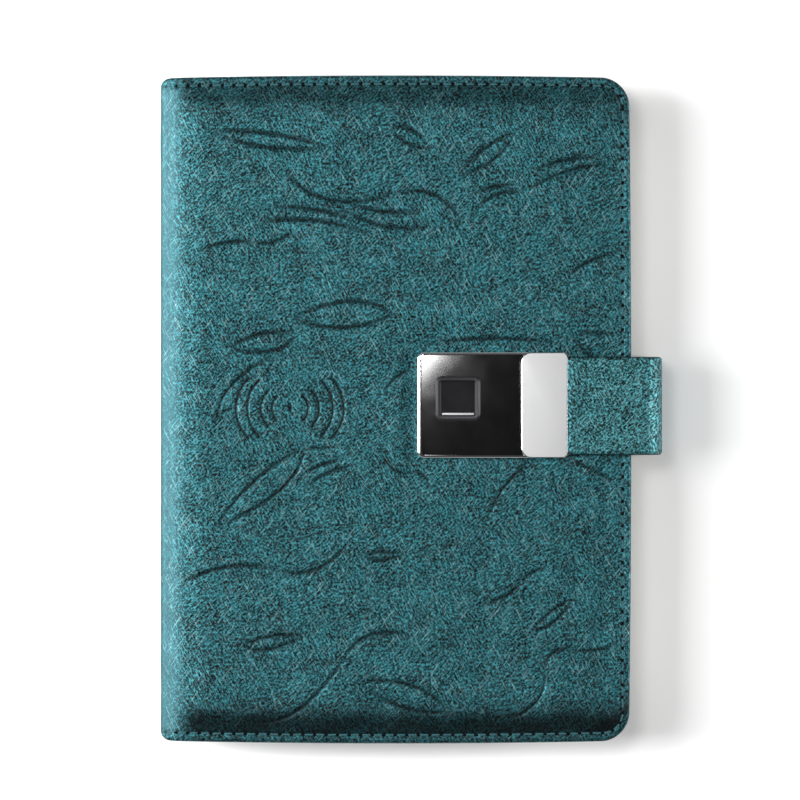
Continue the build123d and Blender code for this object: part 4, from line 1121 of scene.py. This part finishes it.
def mark_sharp(mesh, degrees):
    """Keeps edges that turn more than this many degrees crisp."""
    mesh.set_sharp_from_angle(angle=math.radians(degrees))


LOCK_CORNER = 2.2
RIM_CUT = 0.05  # the high rim ends this far past the glass
DECK_ROUND = 0.3  # the low rim's rounding, as a share of the high rim's
bezel_box = (lock_x0, lock_x1, lock_y0, lock_y1)


def make_bezel():
    """The chrome frame: a high rim round the glass face and a low one under the clip."""
    low = mm_box("lock_bezel")[0][2]
    side, rail = face_x0 - lock_x0, face_y0 - lock_y0
    deck = mm_box("lock_base")[1][2]
    inner_box = (lock_x0 + side, lock_x1 - rail, lock_y0 + rail, lock_y1 - rail)
    profile = [(0.0, low), (0.0, bezel_z - 0.45), (0.12, bezel_z - 0.18), (0.4, bezel_z)]
    rings = outlines(bezel_box, (LOCK_CORNER,) * 4, profile)
    rings += outlines(inner_box, (LOCK_CORNER - rail,) * 4, [(0.0, z) for z in (bezel_z, bezel_z - 0.5, low)])
    mesh = mesh_from("bezel_frame", *loft(rings, closed=False))
    # the rim is high only round the face: a cut drops the rest to the deck
    work = bmesh.new()
    work.from_mesh(mesh)
    cut = (face_x1 + RIM_CUT) * MM
    geometry = work.verts[:] + work.edges[:] + work.faces[:]
    bmesh.ops.bisect_plane(work, geom=geometry, plane_co=(cut, 0, 0), plane_no=(1, 0, 0))
    for vert in work.verts:
        if vert.co.x > cut + 1e-6 and vert.co.z > deck * MM:
            vert.co.z = deck * MM - (bezel_z * MM - vert.co.z) * DECK_ROUND
    work.to_mesh(mesh)
    work.free()
    piece = add_object("bezel_frame", mesh, "front_cover", chrome)
    mark_sharp(mesh, SHARP_TURN)
    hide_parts("lock_bezel")


FACE_DOME = 0.9
FACE_SINK = 0.3  # the glass lies this much under its CAD top, so the sensor stands clear of it
FACE_CELLS = 24


def make_glass():
    """The black glass: a slightly domed top, so a softbox fades across it."""
    middle_x, middle_y = (face_x0 + face_x1) / 2, (face_y0 + face_y1) / 2
    reach_x, reach_y = (face_x1 - face_x0) / 2, (face_y1 - face_y0) / 2
    side = FACE_CELLS + 1
    points = []
    for i in range(side):
        for j in range(side):
            u, v = -1 + 2 * i / FACE_CELLS, -1 + 2 * j / FACE_CELLS
            z = face_z1 - FACE_SINK - FACE_DOME * (u * u + v * v) / 2
            points.append((middle_x + u * reach_x, middle_y + v * reach_y, z))
    faces = grid_faces(side, side)
    rim = [i * side for i in range(side)] + [FACE_CELLS * side + j for j in range(1, side)]
    rim += [i * side + FACE_CELLS for i in range(FACE_CELLS - 1, -1, -1)] + list(range(FACE_CELLS - 1, 0, -1))
    low = len(points)
    points += [(points[k][0], points[k][1], face_z0) for k in rim]
    for k in range(len(rim)):
        after = (k + 1) % len(rim)
        faces.append((rim[k], low + k, low + after, rim[after]))
    faces.append(tuple(range(low, low + len(rim))))
    piece = add_piece("glass_face", (points, faces), "front_cover", gloss_black)
    mark_sharp(piece.data, SHARP_TURN)
    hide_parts("lock_face")


RING_CORNER = 2.1
WINDOW_CORNER = 0.5
SILL_END = 0.25  # from the window's sides to the sill's ends
SILL_WIDTH = 0.75
SILL_CORNER = 0.2


def make_sensor():
    """The fingerprint sensor: a bevelled frame round a sunken dark window with a bright lower sill."""
    ring_box = (ring_x0, ring_x1, ring_y0, ring_y1)
    border = window_x0 - ring_x0
    hole_box = tuple(v + s * border for v, s in zip(ring_box, (1, -1, 1, -1)))
    outer, inner = (RING_CORNER,) * 4, (WINDOW_CORNER,) * 4
    low = mm_box("sensor_ring")[0][2]
    rings = outlines(ring_box, outer, ((0, low), (0, face_z1 - 0.25), (0.75, ring_z1), (1.25, ring_z1)))
    rings += outlines(hole_box, inner, ((-0.35, ring_z1 - 0.05), (0.05, window_z1 - 0.3), (0.05, low)))
    piece = add_piece("sensor_frame", loft(rings, closed=False), "front_cover", sensor_grey)
    mark_sharp(piece.data, 25)
    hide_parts("sensor_ring")
    slab("sensor_glass", hole_box, inner, [(0.02, low + 0.05), (0.02, window_z1 - 0.25)],
         sensor_black, "front_cover", "sensor_window")
    sill_y = hole_box[2] + 0.1
    sill_box = (hole_box[0] + SILL_END, hole_box[1] - SILL_END, sill_y, sill_y + SILL_WIDTH)
    levels = ((0.0, window_z1 - 0.4), (0.0, window_z1 - 0.08), (0.1, window_z1 - 0.02))
    rings = outlines(sill_box, (SILL_CORNER,) * 4, levels)
    add_piece("sensor_sill", loft(rings), "front_cover", satin)


PLATE_CORNER = 3.5
PLATE_RIM = 0.3
plate_radii = (PLATE_CORNER, LOCK_CORNER, LOCK_CORNER, PLATE_CORNER)


def make_clip_plate():
    """The satin plate on the strap's end: a polished bevel round a flat blasted field."""
    box = (clip_x0, clip_x1, clip_y0, clip_y1)
    levels = [(0.15, clip_z0), (0.0, clip_z0 + 0.15), (0.0, clip_z1 - 0.35), (0.06, clip_z1 - 0.16),
              (0.16, clip_z1 - 0.05), (PLATE_RIM, clip_z1)]
    mesh = mesh_from("clip_cap", *loft(outlines(box, plate_radii, levels)))
    mesh.materials.append(chrome)
    mesh.materials.append(satin)
    for polygon in mesh.polygons:
        top = all(mesh.vertices[v].co.z > (clip_z1 - 0.02) * MM for v in polygon.vertices)
        polygon.material_index = 1 if top else 0
        polygon.use_smooth = not top
    piece = add_object("clip_cap", mesh, "strap_flap", smooth=False)
    mark_sharp(mesh, 20)
    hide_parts("clip_plate")


# ---- strap ----
STRAP_CELL = 0.6
STRAP_BEND = 6.0
STRAP_EDGE = 0.35
FLAP_START = 0.4
SLOPE_GAP = 0.2  # from the plate's end to the foot of the rise
SLOPE_LEAD = 1.2  # the rise eases in this far before its foot
SLOPE_RUN = 3.4
SLOPE_STEPS = 12
STRAP_THICKNESS = side_x1 - side_x0
TONGUE_THICKNESS = 1.3  # under the clip plate
EDGE_RUN = 0.9  # the edge is rounded within this
EDGE_SHADE_RUN = 0.3  # and painted with shade within this
# painted shade along the strap's edges, standing in for the shadow under them
EDGE_SHADE = 0.9
FACE_MARGIN = 1.6  # the even cells start this far from the edge
SEAM_INSET = 2.4
SEAM_DEPTH = 0.12
SEAM_WIDTH = 0.5
UNDERSIDE_SHIFT = 200  # gives the underside another part of the grain, mm
SLACK = 0.05
SIDE_LIFT = 0.02  # the side ends this far over the tab's bend
ROOT_TUCK = 0.6  # the tab starts this far inside the fore edge


def quarter_turn(center_x, center_z, reach_x, reach_z, turns, end=True):
    """Points in X and Z round a quarter turn, past its start above or below the center."""
    points = []
    for step in range(1, turns + 1 if end else turns):
        angle = math.pi / 2 * step / turns
        points.append((center_x + reach_x * math.sin(angle), center_z + reach_z * math.cos(angle)))
    return points


def strap_path():
    """The strap's middle line from under the clip plate, over the edge and down to the back cover."""
    low_z, high_z = clip_z0 - TONGUE_THICKNESS / 2, strap_upper_z
    outer = strap_fold_x
    start = flap_x0 + FLAP_START
    slope_x = clip_x1 + SLOPE_GAP
    path = [(x, low_z) for x in spaced(start, slope_x - SLOPE_LEAD, STRAP_CELL * 2)]
    rise_end = slope_x + SLOPE_RUN
    for step in range(1, SLOPE_STEPS):
        share = step / SLOPE_STEPS
        x = slope_x - SLOPE_LEAD + (rise_end - slope_x + SLOPE_LEAD) * share
        path.append((x, low_z + (high_z - low_z) * float(smooth(share))))
    center_x, center_z = outer - STRAP_BEND, high_z - STRAP_BEND
    path += [(x, high_z) for x in spaced(rise_end, center_x, STRAP_CELL)]
    path += quarter_turn(center_x, center_z, STRAP_BEND, STRAP_BEND, 14, end=False)
    path += [(outer, z) for z in reversed(spaced(side_z0 + SIDE_LIFT, center_z, STRAP_CELL))]
    return path


def strap_strip(name, path, thickness_at, body=None):
    """Leather along a path in X and Z: two faces, rounded edges with painted shade and a pressed line along
    each.
    """
    width_mid = (strap_y0 + strap_y1) / 2
    half_width = (strap_y1 - strap_y0) / 2
    lengths = [0.0]
    for (ax, az), (bx, bz) in zip(path, path[1:]):
        lengths.append(lengths[-1] + math.hypot(bx - ax, bz - az))
    rows = spaced(-half_width + FACE_MARGIN, half_width - FACE_MARGIN, STRAP_CELL)
    edges = (0.0, 0.15, 0.45, EDGE_RUN)
    across = [-half_width + e for e in edges] + rows + [half_width - e for e in reversed(edges)]
    rings, uvs, marks = [], [], []
    for index, (x, z) in enumerate(path):
        before, after = path[max(0, index - 1)], path[min(len(path) - 1, index + 1)]
        tangent = Vector((after[0] - before[0], after[1] - before[1])).normalized()
        thick = thickness_at(x) / 2
        ring = []
        for side in (1, -1):
            for y in (across if side == 1 else reversed(across)):
                edge = half_width - abs(y)
                round_off = STRAP_EDGE * (1 - min(edge / EDGE_RUN, 1.0)) ** 2 * 3.0
                dip = SEAM_DEPTH * math.exp(-((edge - SEAM_INSET) / SEAM_WIDTH) ** 2)
                slack = SLACK * min(math.sin(y * 0.55 + lengths[index] * 0.21), 0.0)
                reach = max(thick - min(round_off, thick * 0.55) - dip + slack, 0.2)
                ring.append((x - tangent.y * side * reach, width_mid + y, z + tangent.x * side * reach))
                uvs.append((lengths[index] + (0 if side == 1 else UNDERSIDE_SHIFT), y))
                # painted shade along the edges, carried in the leather's pressed mark
                marks.append(EDGE_SHADE if edge < EDGE_SHADE_RUN else 0.0)
        rings.append(ring)
    mesh = mesh_from(name, *loft(rings))
    store_on(mesh, uvs, {"pressed": marks})
    return add_object(name, mesh, body, strap_teal)


ROOT_BEND = side_z0 - strap_lower_z  # the tab on the back cover curves up to meet the side here


def make_strap():
    """The leather strap from the clip over the fore edge, and the tab that roots it in the back cover."""
    def thickness_at(x):
        share = float(smooth((x - clip_x1) / 3.0))
        return TONGUE_THICKNESS + (STRAP_THICKNESS - TONGUE_THICKNESS) * share

    piece = strap_strip("strap_leather", strap_path(), thickness_at)
    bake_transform(piece)
    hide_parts("strap_side", "strap_flap")
    center_x, center_z = strap_fold_x - ROOT_BEND, strap_lower_z + ROOT_BEND
    path = [(x, strap_lower_z) for x in spaced(fore_x - ROOT_TUCK, center_x, STRAP_CELL)]
    path += quarter_turn(center_x, center_z, ROOT_BEND, -ROOT_BEND, 8)
    root = strap_strip("strap_root", path, lambda x: STRAP_THICKNESS, "back_cover")
    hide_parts("strap_tab")


# ---- inside ----
STRIP_THICKNESS = 0.3
SPINE_TUCK = 1.2  # the lining and board end this far inside the leather's end
inside_half = half_height - SPINE_CORNER - SPINE_TUCK


def ribbon(name, path):
    """A thin strip of lining along Y, following a path in X and Z round a bend."""
    across = spaced(-inside_half, inside_half, 4.0)
    rings = []
    for index, (x, z) in enumerate(path):
        before, after = path[max(0, index - 1)], path[min(len(path) - 1, index + 1)]
        run = Vector((after[0] - before[0], after[1] - before[1])).normalized()
        offset = (-run.y * STRIP_THICKNESS / 2, run.x * STRIP_THICKNESS / 2)
        top = [(x + offset[0], y, z + offset[1]) for y in across]
        bottom = [(x - offset[0], y, z - offset[1]) for y in reversed(across)]
        rings.append(top + bottom)
    piece = add_piece(name, loft(rings), None, lining_cloth)
    mark_sharp(piece.data, 40)
    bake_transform(piece)


def make_spine_inside():
    """The spine's board and lining, cut short of the leather's rounded ends."""
    layers = (("spine_board", cover_board, "cover_board"), ("spine_lining", lining_cloth, "lining"))
    for node, finish, slot in layers:
        low, high = mm_box(node)
        slab(node + "_cut", (low[0], high[0], -inside_half, inside_half), (0.1,) * 4,
             [(0.0, low[2]), (0.0, high[2])], finish, "spine", node)


def corner_path(x_from, z_face, x_face, z_to, radius):
    """From (x_from, z_face) along X, round a quarter turn, then along Z to (x_face, z_to)."""
    toward = 1 if z_to > z_face else -1
    center_x, center_z = x_face + radius, z_face + toward * radius
    path = [(x, z_face) for x in (x_from, (x_from + center_x) / 2, center_x)]
    path += quarter_turn(center_x, center_z, -radius, -toward * radius, 8)
    return path + [(x_face, (center_z + z_to) / 2), (x_face, z_to)]


RULER_LENGTH = 200  # mm
RULER_TICKS = {10: 3.6, 5: 2.6, 1: 1.7}  # a tick's length by the division it marks, mm
RULER_MARGIN = 0.4
TICK_WIDTH = 0.16
TICK_RISE = 0.03


def make_ruler():
    """Printed millimetre ticks along the divider's fore edge."""
    _, (edge_x, _, top_z) = mm_box("divider_ruler")
    parts = []
    for step in range(RULER_LENGTH + 1):
        y = step - RULER_LENGTH / 2
        length = next(size for division, size in RULER_TICKS.items() if step % division == 0)
        x1, x0 = edge_x - RULER_MARGIN, edge_x - RULER_MARGIN - length
        y0, y1 = y - TICK_WIDTH / 2, y + TICK_WIDTH / 2
        corners = ((x0, y0), (x1, y0), (x1, y1), (x0, y1))
        parts.append(loft([[(*corner, z) for corner in corners] for z in (top_z - 0.02, top_z + TICK_RISE)]))
    add_piece("ruler_ticks", join(parts), "back_cover", black_plastic, smooth=False)


POCKET_SEAM = 1.4  # from a pocket's edge to its stitching
POCKET_PITCH = 3.2
POCKET_STITCH = 2.3
POCKET_THREAD = 0.25


def make_pocket_stitches():
    """The seams that hold the stepped pockets to the lining, down both sides and across the closed end."""
    rods = []
    for name in ("card_pockets", "memo_pockets"):
        (x0, y0, z0), (x1, y1, _) = mm_box(name)
        left, right, low, high = x0 + POCKET_SEAM, x1 - POCKET_SEAM, y0 + POCKET_SEAM, y1 - POCKET_SEAM
        corners = ((left, high), (left, low), (right, low), (right, high))
        for start, end in zip(corners, corners[1:]):
            run = math.dist(start, end)
            count = round(run / POCKET_PITCH)
            ahead = ((end[0] - start[0]) / run, (end[1] - start[1]) / run, 0)
            for index in range(count):
                share = (index + 0.5) / count
                x = start[0] + (end[0] - start[0]) * share
                y = start[1] + (end[1] - start[1]) * share
                below = Vector((x, y, z0 - 5.0)) * MM
                hit, place, _, _ = nodes[name].ray_cast(below, (0, 0, 1))
                if hit:
                    rods.append(capsule((x, y, place.z / MM), ahead, POCKET_STITCH, POCKET_THREAD, 0.8))
    add_piece("pocket_stitches", join(rods), "front_cover", pocket_thread)


# ---- building it, in order ----
spine_face_x = mm_box("spine_lining")[1][0] + STRIP_THICKNESS / 2
back_face_z = back_top_z + STRIP_THICKNESS / 2
front_face_z = front_inner_z - STRIP_THICKNESS / 2
strip_reach = 6.0
make_front_skin()
make_back_skin()
make_foam_pad()
make_bezel()
make_glass()
make_sensor()
make_clip_plate()
make_strap()
make_spine_inside()
ribbon("lower_fold_strip", corner_path(spine_face_x + strip_reach, back_face_z, spine_face_x,
                                       back_face_z + strip_reach, 1.2))
ribbon("upper_fold_strip", corner_path(spine_face_x + strip_reach + 2.0, front_face_z, spine_face_x,
                                       front_face_z - strip_reach, 1.6))
make_ruler()
make_pocket_stitches()
